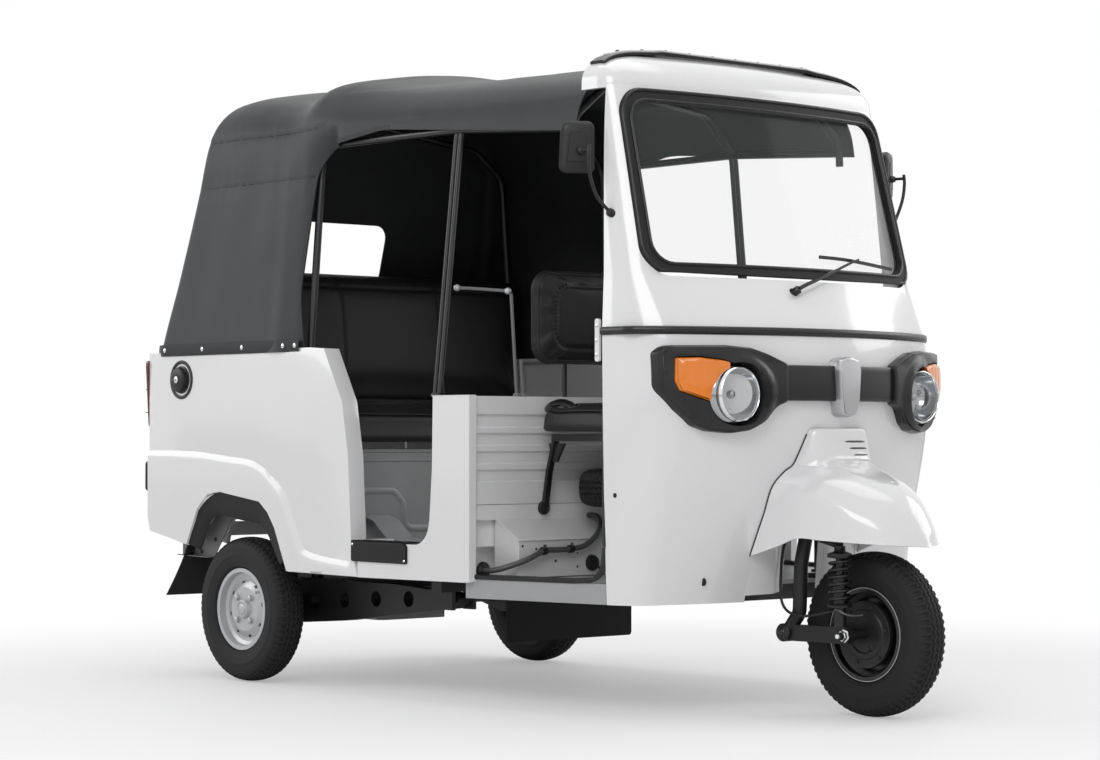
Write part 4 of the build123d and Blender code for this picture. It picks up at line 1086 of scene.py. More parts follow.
def make_wheels():
    """Tyres, hubs, nuts and valves of the three wheels, and black discs of painted shade for the rear rims'
    holes.
    """
    make_tyre("front_tyre_tread", front_axle, (0, 1, 0), "front_wheel", ["front_tyre"])
    for label, side in (("right", -1), ("left", 1)):
        place = Vector((rear_axle_x, side * rear_wheel_y, tyre_radius))
        make_tyre(f"rear_tyre_{label}_tread", place, (0, side, 0), f"rear_wheel_{label}",
                  [f"rear_tyre_{label}"])
        form = Form()
        form.turned([(0.0, 0.046), (0.009, 0.046), (0.017, 0.043), (0.0215, 0.036), (0.0215, 0.028)],
                    place, (0, side, 0), 24)
        form.turned([(0.0242, 0.0405), (0.0262, 0.0425), (0.0290, 0.0415), (0.0298, 0.0395)], place,
                    (0, side, 0), 32)
        valve(form, place, side, 0.113, 0.6)
        tree = tree_of(f"rear_rim_{label}")
        # Black discs on the rim's face stand for its eight holes: painted shade in the openings.
        holes = Form()
        for k in range(4):
            spot = rim_spot(tree, place, side, 0.053, pi / 4 + k * pi / 2)
            form.turned([(0.0, 0.012), (0.006, 0.012), (0.0098, 0.010), (0.0098, -0.002)], spot,
                        (0, side, 0), 6)
            form.turned([(0.0105, 0.0020), (0.0135, 0.0016), (0.0140, -0.001)], spot, (0, side, 0), 20)
        for k in range(8):
            spot = rim_spot(tree, place, side, 0.089, k * pi / 4 + 0.2)
            holes.turned([(0.0, 0.0010), (0.0060, 0.0010), (0.0070, 0.0002), (0.0070, -0.001)], spot,
                         (0, side, 0), 16)
        holes.make(f"rear_rim_hole_painted_shade_{label}", "rim_black", body=f"rear_wheel_{label}", mat=rim_black,
                   angle=40)
        form.make(f"rear_hub_{label}", "chrome_trim", body=f"rear_wheel_{label}", mat=rim_silver, angle=35)
        beads = Form()
        for r, out in ((0.1362, 0.0440), (0.1215, 0.0262), (0.0965, 0.0188)):
            beads.turned([(r - 0.0016, out - 0.001), (r - 0.0009, out + 0.0014), (r + 0.0009, out + 0.0014),
                          (r + 0.0016, out - 0.001)], place, (0, side, 0), 72)
        beads.make(f"rear_rim_beads_{label}", "rim_silver", body=f"rear_wheel_{label}", angle=50)
    form = Form()
    for side in (-1, 1):
        form.turned([(0.1345, 0.0436), (0.1356, 0.0456), (0.1372, 0.0456), (0.1380, 0.0436)], front_axle,
                    (0, side, 0), 80)
    form.make("front_rim_edge", "chrome_trim", body="front_wheel", mat=rim_silver, angle=50)
    drum = Form()
    profile = [(0.030, -0.0450), (0.052, -0.0455), (0.056, -0.0490), (0.071, -0.0490), (0.074, -0.0460),
               (0.090, -0.0455), (0.094, -0.0470), (0.098, -0.0465), (0.099, -0.0440)]
    drum.turned(profile, front_axle, (0, 1, 0), 64)
    for k in range(6):
        angle = 2 * pi * k / 6 + 0.2
        spot = front_axle + Vector((0.084 * cos(angle), -0.0450, 0.084 * sin(angle)))
        drum.turned([(0.0, 0.006), (0.004, 0.006), (0.0062, 0.004), (0.0062, -0.002)], spot, (0, -1, 0), 6)
    for k in range(3):
        angle = 2 * pi * k / 3 + 0.9
        spot = front_axle + Vector((0.044 * cos(angle), -0.0450, 0.044 * sin(angle)))
        drum.turned([(0.0, 0.004), (0.0055, 0.004), (0.007, 0.002), (0.007, -0.002)], spot, (0, -1, 0), 12)
    drum.make("front_drum_face", "steel_part", body="steering", mat=steel_black, angle=35)
    valve_form = Form()
    valve(valve_form, front_axle, 1, 0.113, 2.2)
    valve_form.make("front_valve", "rubber", body="front_wheel")


def rim_spot(tree, place, side, radius, angle):
    """A point on the rim's outer face."""
    start = place + Vector((radius * cos(angle), side * 0.2, radius * sin(angle)))
    hit = struck(tree, start, (0, -side, 0))
    return hit if hit else start - Vector((0, side * 0.17, 0))


def valve(form, place, side, radius, angle):
    """Tyre valve standing out of the rim's well."""
    spot = place + Vector((radius * cos(angle), side * 0.016, radius * sin(angle)))
    inward = Vector((-cos(angle) * 0.35, side, -sin(angle) * 0.35))
    form.turned([(0.0055, -0.004), (0.0055, 0.004), (0.0038, 0.008), (0.0036, 0.024), (0.0046, 0.025),
                 (0.0046, 0.034), (0.0, 0.035)], spot, inward, 12)


def make_spare():
    """Spare wheel lying under the driver's seat."""
    place = Vector((0.465, -0.150, 0.662))
    make_tyre("spare_tyre_tread", place, (0, 0, 1), "chassis", ["spare_wheel"])
    rim = Form()
    rim.turned([(0.136, 0.045), (0.136, 0.041), (0.128, 0.039), (0.127, 0.020), (0.112, 0.014),
                (0.112, -0.014),
                (0.127, -0.020), (0.128, -0.039), (0.136, -0.041), (0.136, -0.045), (0.124, -0.045),
                (0.123, -0.024), (0.108, -0.018), (0.100, 0.010), (0.074, 0.018), (0.034, 0.018),
                (0.030, 0.030), (0.014, 0.030), (0.014, 0.022), (0.072, 0.013), (0.096, 0.004), (0.108,
                                                                                                 0.006),
                (0.123, 0.025), (0.124, 0.045)], place, (0, 0, 1), 64, close=True)
    rim.make("spare_rim", "rim_silver", angle=35)


# Seats: padded covers swollen by a cloth simulation, then seams and welts
swell_frames = 20


def soft_pad(name, node, voxel, cap, inset, pressure=4.0, flat_axis=2, flat_share=0.16, wider=0.0):
    """A pad grown from its CAD solid; the face it rests on stays flat."""
    mesh = nodes[node].data.copy()
    low, high = (Vector(c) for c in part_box(node))
    centre, size = (low + high) / 2, high - low
    for v in mesh.vertices:
        for i in range(3):
            grown = size[i] - 2 * inset + (2 * wider if i == 1 else 0.0)
            v.co[i] = centre[i] + (v.co[i] - centre[i]) * grown / size[i]
    piece = bpy.data.objects.new(name, mesh)
    scene.collection.objects.link(piece)
    for kind in ("remesh", "soften"):
        if kind == "remesh":
            made = piece.modifiers.new(kind, "REMESH")
            made.mode = "VOXEL"
            made.voxel_size = voxel
        else:
            made = piece.modifiers.new(kind, "SMOOTH")
            made.factor = 0.5
            made.iterations = 5
    apply_modifiers(piece)
    start = [v.co.copy() for v in piece.data.vertices]
    held = piece.vertex_groups.new(name="held")
    edge = low[flat_axis] + inset + size[flat_axis] * flat_share
    rest = [v.index for v in piece.data.vertices if v.co[flat_axis] < edge]
    held.add(rest, 1.0, "REPLACE")
    cloth = piece.modifiers.new("swell", "CLOTH")
    cloth.settings.quality = 4
    cloth.settings.mass = 0.4
    cloth.settings.tension_stiffness = 12
    cloth.settings.bending_stiffness = 1.5
    cloth.settings.use_pressure = True
    cloth.settings.uniform_pressure_force = pressure
    cloth.settings.effector_weights.gravity = 0
    cloth.settings.vertex_group_mass = "held"
    cloth.collision_settings.use_collision = False
    for step in range(1, swell_frames + 1):
        scene.frame_set(step)
    apply_modifiers(piece)
    scene.frame_set(1)
    for v, before in zip(piece.data.vertices, start):
        moved = v.co - before
        far = moved.length
        if far > 1e-9:
            v.co = before + moved * (cap * (1 - exp(-far / cap)) / far)
    fine = piece.modifiers.new("fine", "SUBSURF")
    fine.levels = 1
    fine.render_levels = 1
    apply_modifiers(piece)
    mesh = piece.data
    mesh.materials.clear()
    mesh.materials.append(seat_black)
    mesh.shade_smooth()
    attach(piece, "chassis")
    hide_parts(node)
    return piece


def sew(piece, paths, depth, width):
    """Presses seams into a pad along paths of points."""
    tree = KDTree(sum(len(path) for path in paths))
    index = 0
    for path in paths:
        for p in path:
            tree.insert(p, index)
            index += 1
    tree.balance()
    moves = []
    for v in piece.data.vertices:
        gap = tree.find(v.co)[2]
        if gap < width:
            share = 1 - gap / width
            moves.append((v.index, v.normal.copy() * depth * ease(share)))
    for i, move in moves:
        piece.data.vertices[i].co -= move


def pull_in(piece, creases, depth, width, along):
    """Shallow stress folds that fade out, pressed across a pad."""
    for v in piece.data.vertices:
        give = 0.0
        for x, y, z, reach in creases:
            gap = (v.co - Vector((x, y, z))).length
            if gap < reach:
                fade = 1 - gap / reach
                give += fade * fade * sin((v.co - Vector((x, y, z))).dot(Vector(along)) / width)
        if give:
            v.co += v.normal * give * depth


def welt(form, piece, path, radius=0.0032, closed=True, lift=0.001):
    """A piped edge laid on the pad's surface."""
    graph = bpy.context.evaluated_depsgraph_get()
    tree = BVHTree.FromObject(piece, graph)
    line = []
    for p in path:
        spot, normal, _, _ = tree.find_nearest(Vector(p))
        line.append(spot + normal * lift)
    form.tube(line, radius, 8, closed=closed)
    return line


def ring_path(corners, radius, at, step=0.012):
    """A closed rounded outline in two dimensions, set in space by a function."""
    outline = rounded(corners, radius, 6)
    dense = dense_loop(outline, step)
    return [at(q.x, q.y) for q in dense]


def make_seats():
    """Covers of the driver's and the passengers' cushions and backrests, with welts and seams."""
    welts = Form()
    # Driver's cushion: boxed side with a welt round its top
    pad = soft_pad("driver_cushion_cover", "driver_cushion", 0.0085, 0.016, 0.006, wider=0.035)
    corners = [(0.283, -0.467), (0.647, -0.467), (0.647, 0.467), (0.283, 0.467)]
    top = ring_path(corners, 0.05, lambda x, y: Vector((x, y, 0.908)))
    line = welt(welts, pad, top)
    sew(pad, [line], 0.004, 0.014)
    low = ring_path([(0.268, -0.481), (0.662, -0.481), (0.662, 0.481), (0.268, 0.481)], 0.05,
                    lambda x, y: Vector((x, y, 0.842)))
    sew(pad, [low], 0.003, 0.012)
    # Driver's backrest: a sewn panel inside a padded border
    pad = soft_pad("driver_backrest_cover", "driver_backrest", 0.0075, 0.016, 0.005, flat_axis=0)
    frame_line = ring_path([(-0.405, 1.095), (0.405, 1.095), (0.405, 1.290), (-0.405, 1.290)], 0.055,
                           lambda y, z: Vector((0.290, y, z)))
    graph = bpy.context.evaluated_depsgraph_get()
    tree = BVHTree.FromObject(pad, graph)
    on_pad = []
    for p in frame_line:
        hit = struck(tree, (0.6, p.y, p.z), (-1, 0, 0))
        on_pad.append(hit if hit else p)
    sew(pad, [on_pad], 0.007, 0.015)
    edge = ring_path([(-0.470, 1.045), (0.470, 1.045), (0.470, 1.340), (-0.470, 1.340)], 0.07,
                     lambda y, z: Vector((0.270, y, z)))
    welt(welts, pad, edge)
    # Passenger cushion
    pad = soft_pad("passenger_cushion_cover", "passenger_cushion", 0.0115, 0.022, 0.008)
    rim = ring_path([(-1.105, -0.645), (-0.598, -0.645), (-0.598, 0.645), (-1.105, 0.645)], 0.06,
                    lambda x, y: Vector((x, y, 0.912)))
    line = welt(welts, pad, rim, 0.0038)
    sew(pad, [line], 0.004, 0.016)
    pull_in(pad, [(-0.64, -0.60, 0.90, 0.13), (-0.64, 0.60, 0.90, 0.13), (-0.64, 0.0, 0.92, 0.10)], 0.002,
            0.010,
            (0.5, 1, 0.3))
    # Passenger backrest
    pad = soft_pad("passenger_backrest_cover", "passenger_backrest", 0.0115, 0.020, 0.008,
                   flat_axis=0,
                   flat_share=0.3)
    graph = bpy.context.evaluated_depsgraph_get()
    tree = BVHTree.FromObject(pad, graph)
    panels = []
    for y in (-0.22, 0.22):
        for k in range(0, 40):
            z = 0.96 + k * 0.0105
            hit = struck(tree, (-0.6, y, z), (-1, 0, 0))
            if hit:
                panels.append(hit)
    for k in range(0, 118):
        y = -0.59 + k * 0.01
        hit = struck(tree, (-0.6, y, 1.345), (-1, 0, 0))
        if hit:
            panels.append(hit)
    sew(pad, [panels], 0.005, 0.014)
    welts.make("seat_welts", "seat_cover", mat=seat_black, angle=70)


# Front guard: levels from its lower edge to its top, each from the cab's surface to the middle
guard_sheet = 0.004
guard_levels = [
    [(0.990, -0.238, 0.468), (1.050, -0.222, 0.500), (1.120, -0.215, 0.524), (1.200, -0.204, 0.520),
     (1.300, -0.172, 0.514), (1.370, -0.120, 0.509), (1.412, -0.070, 0.506), (1.440, 0.0, 0.503)],
    [(1.030, -0.222, 0.596), (1.060, -0.211, 0.640), (1.095, -0.206, 0.660), (1.143, -0.200, 0.661),
     (1.200, -0.191, 0.642), (1.272, -0.169, 0.606), (1.330, -0.138, 0.575), (1.380, -0.094, 0.553),
     (1.410, -0.048, 0.543), (1.422, 0.0, 0.540)],
    [(1.055, -0.216, 0.671), (1.085, -0.186, 0.696), (1.120, -0.172, 0.702), (1.200, -0.150, 0.690),
     (1.270, -0.120, 0.665), (1.330, -0.086, 0.638), (1.364, -0.044, 0.622), (1.374, 0.0, 0.617)],
    [(1.066, -0.184, 0.716), (1.098, -0.142, 0.726), (1.140, -0.115, 0.727), (1.200, -0.088, 0.714),
     (1.262, -0.056, 0.692), (1.300, -0.028, 0.677), (1.308, 0.0, 0.674)],
    [(1.070, -0.158, 0.735), (1.098, -0.130, 0.739), (1.126, -0.108, 0.741), (1.146, -0.070, 0.742),
     (1.152, 0.0, 0.742)],
    [(1.073, -0.144, 0.768), (1.093, -0.130, 0.767), (1.114, -0.104, 0.766), (1.121, -0.060, 0.766),
     (1.122, 0.0, 0.766)],
    [(1.084, -0.124, 0.828), (1.098, -0.114, 0.829), (1.107, -0.092, 0.830), (1.1095, -0.050, 0.830),
     (1.110, 0.0, 0.830)],
    [(1.087, -0.116, 0.841), (1.096, -0.106, 0.843), (1.102, -0.086, 0.8440), (1.103, -0.050, 0.8440),
     (1.103, 0.0, 0.8440)],
    [(1.084, -0.108, 0.8440), (1.084, -0.098, 0.8455), (1.084, -0.080, 0.8460), (1.084, -0.040, 0.8460),
     (1.084, 0.0, 0.8460)],
]


def spread(points, count):
    """Evenly spaced points along a smooth curve."""
    line = spline(points, 0.002)
    runs = [0.0]
    for a, b in zip(line[:-1], line[1:]):
        runs.append(runs[-1] + (b - a).length)
    out = []
    at = 0
    for k in range(count):
        goal = runs[-1] * k / (count - 1)
        while at < len(runs) - 2 and runs[at + 1] < goal:
            at += 1
        share = (goal - runs[at]) / max(1e-9, runs[at + 1] - runs[at])
        out.append(line[at].lerp(line[at + 1], min(1.0, share)))
    return out


def make_guard():
    """Guard over the front wheel, a black tube of painted shade for the gap round it, black shapes of painted
    shade for its slots, and the splash panels behind it.
    """
    count = 34
    levels = []
    for points in guard_levels:
        x = cab_x(points[0][1], points[0][2])
        first = (x + 0.002 if x else points[0][0], points[0][1], points[0][2])
        levels.append(spread([first, *points[1:]], count))
    rows = [[a.lerp(b, k / 7) for a, b in zip(levels[0], levels[1])] for k in range(7)]
    last = len(levels) - 1
    for i in range(1, last):
        steps = 7 if i < 4 else 5
        for k in range(steps):
            t = k / steps
            row = []
            for j in range(count):
                p1, p2 = levels[i][j], levels[i + 1][j]
                p0 = levels[i - 1][j] if i > 1 else p1 * 2 - p2
                p3 = levels[i + 2][j] if i + 2 <= last else p2 * 2 - p1
                row.append(along_curve(p0, p1, p2, p3, t))
            rows.append(row)
    rows.append(levels[last])
    form = Form()
    form.grid([row + [Vector((p.x, -p.y, p.z)) for p in row[-2::-1]] for row in rows])
    piece = form.make("front_guard_shell", "white_paint", replaces=["front_guard"], angle=75)
    soft = piece.modifiers.new("soften", "CORRECTIVE_SMOOTH")
    soft.use_only_smooth = True
    soft.factor = 0.5
    soft.iterations = 2
    soft.use_pin_boundary = True
    thick = piece.modifiers.new("thick", "SOLIDIFY")
    thick.thickness = guard_sheet
    thick.offset = -1
    apply_modifiers(piece)
    shade(piece.data, 30)
    # A thin black tube along the guard's edge where it meets the cab: painted shade for the gap.
    gap = Form()
    edge = [row[0] for row in rows if row[0].z < 0.83]
    gap.tube(edge, 0.0022, 8)
    gap.mirrored()
    gap.make("guard_gap_painted_shade", "rubber", mat=gloss_black, angle=60)
    tree = BVHTree.FromObject(piece, bpy.context.evaluated_depsgraph_get())
    # Black lozenges on the guard stand for its three slots: painted shade in the openings.
    slots = Form()
    for y, z, length in ((0.046, 0.806, 0.090), (0.057, 0.786, 0.080), (0.064, 0.766, 0.066)):
        rows = []
        for k in range(13):
            t = k / 12 * 2 - 1
            place = y + length / 2 * t
            thick = 0.0030 * sqrt(max(0.04, 1 - t ** 4))
            hit = struck(tree, (2, place, z), (-1, 0, 0))
            x = hit.x
            rows.append([Vector((x + out, place, z + thick * up)) for out, up in
                         ((-0.003, 1.0), (0.0004, 1.0), (0.0016, 0.0), (0.0004, -1.0), (-0.003, -1.0))])
        slots.grid(rows, closed_across=True)
        slots.close_ends(5, len(rows))
    slots.make("guard_slot_painted_shade", "black_plastic", mat=gloss_black, angle=40)
    splash = Form()
    for side in (-1, 1):
        rows = []
        for x, y, low, high in ((1.006, 0.330, 0.346, 0.500), (1.002, 0.290, 0.346, 0.520),
                                (0.985, 0.235, 0.349, 0.560),
                                (0.960, 0.150, 0.354, 0.620), (0.937, 0.085, 0.360, 0.620), (0.925, 0.075,
                                                                                             0.362, 0.620)):
            line = []
            for k in range(5):
                z = low + (high - low) * k / 4
                skin = cab_x(side * y, z)
                lean = x + 0.09 * (z - low)
                line.append(Vector((min(lean, skin - 0.002) if skin else lean, side * y, z)))
            rows.append(line + [Vector((q.x - 0.004, q.y, q.z)) for q in reversed(line)])
        splash.grid(rows, closed_across=True)
        splash.close_ends(10, len(rows))
    splash.make("cab_splash_panels", "white_paint", angle=50)


arch_line = [(-1.2505, 0.455), (-1.215, 0.545), (-1.175, 0.600), (-1.130, 0.624), (-1.066, 0.6335),
             (-0.95, 0.619),
             (-0.835, 0.604), (-0.785, 0.572), (-0.745, 0.520), (-0.715, 0.462), (-0.697, 0.418)]


def make_arch_trims():
    """Black liners inside the rear wheel arches."""
    form = Form()
    line = spline([(x, z, 0) for x, z in arch_line], 0.015)
    centre = Vector((-0.985, 0.40, 0))
    rows = []
    count = len(line)
    for i, p in enumerate(line):
        a, b = line[max(0, i - 1)], line[min(count - 1, i + 1)]
        run = (b - a).normalized()
        inward = Vector((-run.y, run.x, 0))
        if inward.dot(centre - p) < 0:
            inward.negate()
        share = i / (count - 1)
        deep = 0.050 + 0.026 * sin(pi * share) ** 0.6
        row = []
        for down, y in ((-0.004, -0.7075), (-0.001, -0.7190), (0.003, -0.7205), (0.007, -0.7190),
                        (deep * 0.55, -0.7140), (deep, -0.7060), (deep + 0.003, -0.7020), (deep, -0.6990),
                        (0.006, -0.7040)):
            q = p + inward * down
            row.append(Vector((q.x, y, q.y)))
        rows.append(row)
    form.grid(rows, closed_across=True)
    form.close_ends(9, count)
    form.mirrored()
    form.make("arch_liners", "rubber", mat=rubber, angle=40)


def make_roof_clamp():
    """Clamp strip with its gasket and screws where the canopy meets the cab's roof."""
    line = []
    for k in range(-28, 29):
        y = k * 0.0200
        hit = struck(upper_tree, (0.640, y, 2.5), (0, 0, -1))
        if hit:
            line.append(Vector((0.640, y, hit.z)))
    path = spline(line, 0.02)
    gasket = Form()
    gasket.sweep(path, [(0.030, -0.002), (0.032, 0.006), (0.024, 0.010), (-0.024, 0.010), (-0.032, 0.006),
                        (-0.030, -0.002)], up=(0, 0, 1))
    gasket.make("roof_gasket", "rubber", mat=gloss_black, angle=35)
    strip = Form()
    strip.sweep(path[2:-2], [(0.017, 0.008), (0.016, 0.0145), (-0.016, 0.0145), (-0.017, 0.008)],
                up=(0, 0, 1))
    strip.make("roof_clamp_strip", "white_paint", angle=30)
    screws = Form()
    for i in range(4, len(path) - 4, 5):
        screws.turned([(0.0, 0.0045), (0.004, 0.004), (0.0062, 0.002), (0.0065, -0.001)],
                      path[i] + Vector((0, 0, 0.0145)), (0, 0, 1), 12)
    screws.make("roof_clamp_screws", "steel_part", mat=steel_black)


def make_screen_bead():
    """Raised lips of the windscreen's rubber seal."""
    form = Form()
    tree = tree_of("windscreen_seal")
    for corners, radius, size in ((((-0.577, 1.2935), (0.577, 1.2935), (0.557, 1.8475), (-0.557, 1.8475)),
                                   0.082, 0.0055),
                                  (((-0.550, 1.3250), (0.550, 1.3250), (0.5365, 1.8170), (-0.5365, 1.8170)),
                                   0.064, 0.0050)):
        ring = ring_path([tuple(c) for c in corners], radius, lambda y, z: Vector((0, y, z)), 0.015)
        line = []
        for p in ring:
            hit = struck(tree, (3, p.y, p.z), (-1, 0, 0))
            if hit:
                line.append(Vector((hit.x + size * 0.1, p.y, p.z)))
        form.tube(line, size, 8, closed=True)
    form.make("windscreen_seal_lips", "rubber", mat=gloss_black, angle=60)


def make_caps():
    """Fuel cap, step pads, doorway gussets, mudflaps, hinge plates and plugs."""
    cap = Form()
    place = (-1.294, -0.720, 1.016)
    cap.turned([(0.067, 0.0005), (0.066, 0.003), (0.060, 0.0045), (0.056, 0.003), (0.0545, 0.0005)], place,
               (0, -1, 0), 48)
    cap.turned([(0.0, 0.0245), (0.016, 0.0245), (0.018, 0.0225), (0.036, 0.0215), (0.040, 0.0185),
                (0.0415, 0.006), (0.047, 0.0045), (0.048, -0.001)], place, (0, -1, 0), 48)
    for k in range(18):
        angle = 2 * pi * k / 18
        spot = Vector(place) + Vector((0.0405 * cos(angle), 0, 0.0405 * sin(angle)))
        cap.turned([(0.0, 0.0185), (0.0018, 0.0178), (0.0024, 0.0150), (0.0024, 0.004)], spot, (0, -1, 0),
                   8)
    cap.make("fuel_cap_cover", "black_plastic", replaces=["fuel_cap"], angle=35)
    lock = Form()
    lock.turned([(0.0, 0.0265), (0.0095, 0.0262), (0.0115, 0.0245)], place, (0, -1, 0), 28)
    lock.make("fuel_cap_lock", "chrome_trim", mat=chrome)
    # Black blocks on the lock's face stand for its key slit: painted shade in the opening.
    slit = Form()
    slit.block((place[0] - 0.0012, place[1] - 0.0270, place[2] - 0.0055),
               (place[0] + 0.0012, place[1] - 0.0263, place[2] + 0.0055))
    slit.block((place[0] - 0.0022, place[1] - 0.0270, place[2] - 0.002),
               (place[0] + 0.0022, place[1] - 0.0263, place[2] + 0.002))
    slit.make("fuel_cap_slit_painted_shade", "black_plastic")

    pads = Form()
    outline = rounded([(-0.338, 0.426), (-0.058, 0.424), (-0.058, 0.478), (-0.075, 0.4925),
                       (-0.338, 0.4925)], 0.006, 4)
    for inward, low, high in ((0.0, -0.7245, -0.7200), (0.0025, -0.7272, -0.7240)):
        pads.solid([tuple(q) for q in shrunk(outline, inward)], "xz", low, high)
    pads.block((-0.338, -0.7245, 0.4870), (-0.066, -0.6650, 0.4925))
    for k in range(6):
        z = 0.437 + k * 0.0080
        pads.sweep([(-0.322, -0.7270, z), (-0.10, -0.7270, z), (-0.075, -0.7270, z)],
                   [(0.0012, -0.0016), (0.0012, 0.0016), (-0.0016, 0.0007), (-0.0016, -0.0007)], up=(0, 0,
                                                                                                     1))
    pads.mirrored()
    pads.make("step_pad_covers", "rubber", replaces=["step_pads"], angle=30)
    studs = Form()
    for x, z in ((-0.329, 0.480), (-0.067, 0.434)):
        studs.turned([(0.0, 0.0026), (0.0030, 0.0022), (0.0045, 0.0)], (x, -0.7272, z), (0, -1, 0), 12)
    studs.mirrored()
    studs.make("step_pad_screws", "chrome_trim", mat=chrome)
    gussets = Form()
    corner = [(0.046, 0.4845)] + [(0.046 - 0.075 + 0.075 * cos(a), 0.4845 + 0.075 - 0.075 * sin(a))
                                  for a in [k * pi / 16 for k in range(9)]]
    gussets.solid(corner, "xz", -0.7195, -0.7120)
    gussets.mirrored()
    gussets.make("doorway_gussets", "white_paint", angle=30)

    bracket = Form()
    outline = [(-1.378, 0.412), (-1.190, 0.408), (-1.085, 0.545), (-1.120, 0.610), (-1.260, 0.475),
               (-1.378, 0.475)]
    bracket.solid(outline, "xz", -0.6555, -0.6520)
    bracket.solid([(-1.378, 0.412), (-1.190, 0.408), (-1.190, 0.4105), (-1.378, 0.4145)], "xz", -0.6800,
                  -0.6520)
    bracket.mirrored()
    bracket.make("mudflap_brackets", "grey_paint", mat=bracket_grey, angle=30)
    bolts = Form()
    for x, z in ((-1.355, 0.428), (-1.310, 0.427), (-1.262, 0.426), (-1.180, 0.470)):
        bolts.turned([(0.0, 0.005), (0.0045, 0.005), (0.0075, 0.003), (0.0075, -0.001)], (x, -0.6555, z),
                     (0, -1, 0), 6)
    bolts.mirrored()
    bolts.make("mudflap_bolts", "steel_part", mat=steel_black)

    flap = Form()
    for side in (-1, 1):
        rows = []
        for k in range(13):
            t = k / 12
            z = 0.452 - 0.180 * t
            x = -1.302 - 0.112 * t ** 1.2
            inner, outer = 0.575 - 0.045 * t, 0.690 + 0.010 * t
            row = [Vector((x + 0.003 * sin(t * 4) * (j / 8 - 0.5), side * (inner + (outer - inner) * j / 8),
                           z))
                   for j in range(9)]
            row += [Vector((q.x + 0.004, q.y, q.z)) for q in reversed(row)]
            rows.append(row)
        flap.grid(rows, closed_across=True)
        flap.close_ends(18, len(rows))
    flap.make("mudflap_sheets", "rubber", replaces=["mudflaps"], angle=50)

    plate = Form()
    for side in (-1, 1):
        plate.solid(rounded([(0.716, 1.04), (0.734, 1.04), (0.734, 1.165), (0.716, 1.165)], 0.006, 3), "xz",
                    *sorted((side * 0.634, side * 0.6425)))
    plate.make("pillar_plates", "white_paint", angle=30)
    heads = Form()
    for z in (1.060, 1.102, 1.145):
        heads.turned([(0.0, 0.004), (0.004, 0.0035), (0.0058, 0.0015), (0.006, -0.001)],
                     (0.725, -0.6425, z),
                     (0, -1, 0), 12)
    heads.mirrored()
    heads.make("pillar_plate_screws", "chrome_trim", mat=chrome)

    plugs = Form()
    for x, z, r in ((0.905, 0.395, 0.012), (0.790, 0.650, 0.007)):
        hit = struck(cab_tree, (x, -2, z), (0, 1, 0))
        if hit:
            plugs.turned([(0.0, 0.003), (r * 0.7, 0.0028), (r, 0.001), (r, -0.002)], hit, (0, -1, 0), 18)
    plugs.mirrored()
    plugs.make("cab_plugs", "rubber", angle=50)


def make_sill_trim():
    """Black strip along the edge of the driver's floor, turned up towards the pillar."""
    form = Form()
    for side in (-1, 1):
        pts = [(0.205, side * 0.694, 0.396), (0.40, side * 0.665, 0.396), (0.62, side * 0.632, 0.396),
               (0.695, side * 0.622, 0.400), (0.728, side * 0.620, 0.430), (0.738, side * 0.622, 0.500),
               (0.742, side * 0.624, 0.700), (0.742, side * 0.626, 0.900)]
        line = bent(pts, 0.05, 6)
        form.sweep(line, [(0.010, -0.006), (0.011, 0.005), (0.004, 0.009), (-0.006, 0.007),
                          (-0.010, -0.006)],
                   up=(0, side * 0.2, 1) if side < 0 else (0, 0.2, 1))
    form.make("door_sill_trims", "rubber", mat=gloss_black, angle=45)


# Rear body sides, tail corners, canopy frame and outside fittings
crease_outline = [(-1.490, 0.775, 0.0), (-1.200, 0.772, 0.30), (-0.845, 0.742, 0.30), (-0.694, 0.642, 0.10),
                  (-0.640, 0.540, 0.10), (-0.595, 0.455, 0.06), (-0.500, 0.438, 0.10), (-0.345, 0.424,
                                                                                        0.02),
                  (-0.316, 0.378, 0.0), (-0.679, 0.382, 0.0), (-0.696, 0.417, 0.0), (-0.745, 0.520, 0.0),
                  (-0.785, 0.572, 0.0), (-0.832, 0.606, 0.0), (-1.064, 0.636, 0.0), (-1.130, 0.626, 0.0),
                  (-1.190, 0.574, 0.0), (-1.253, 0.453, 0.0), (-1.474, 0.495, 0.0), (-1.489, 0.542, 0.0)]
crease_corners = 9
surround_rise = 0.0085
surround_blend = 0.022
body_side = 0.720


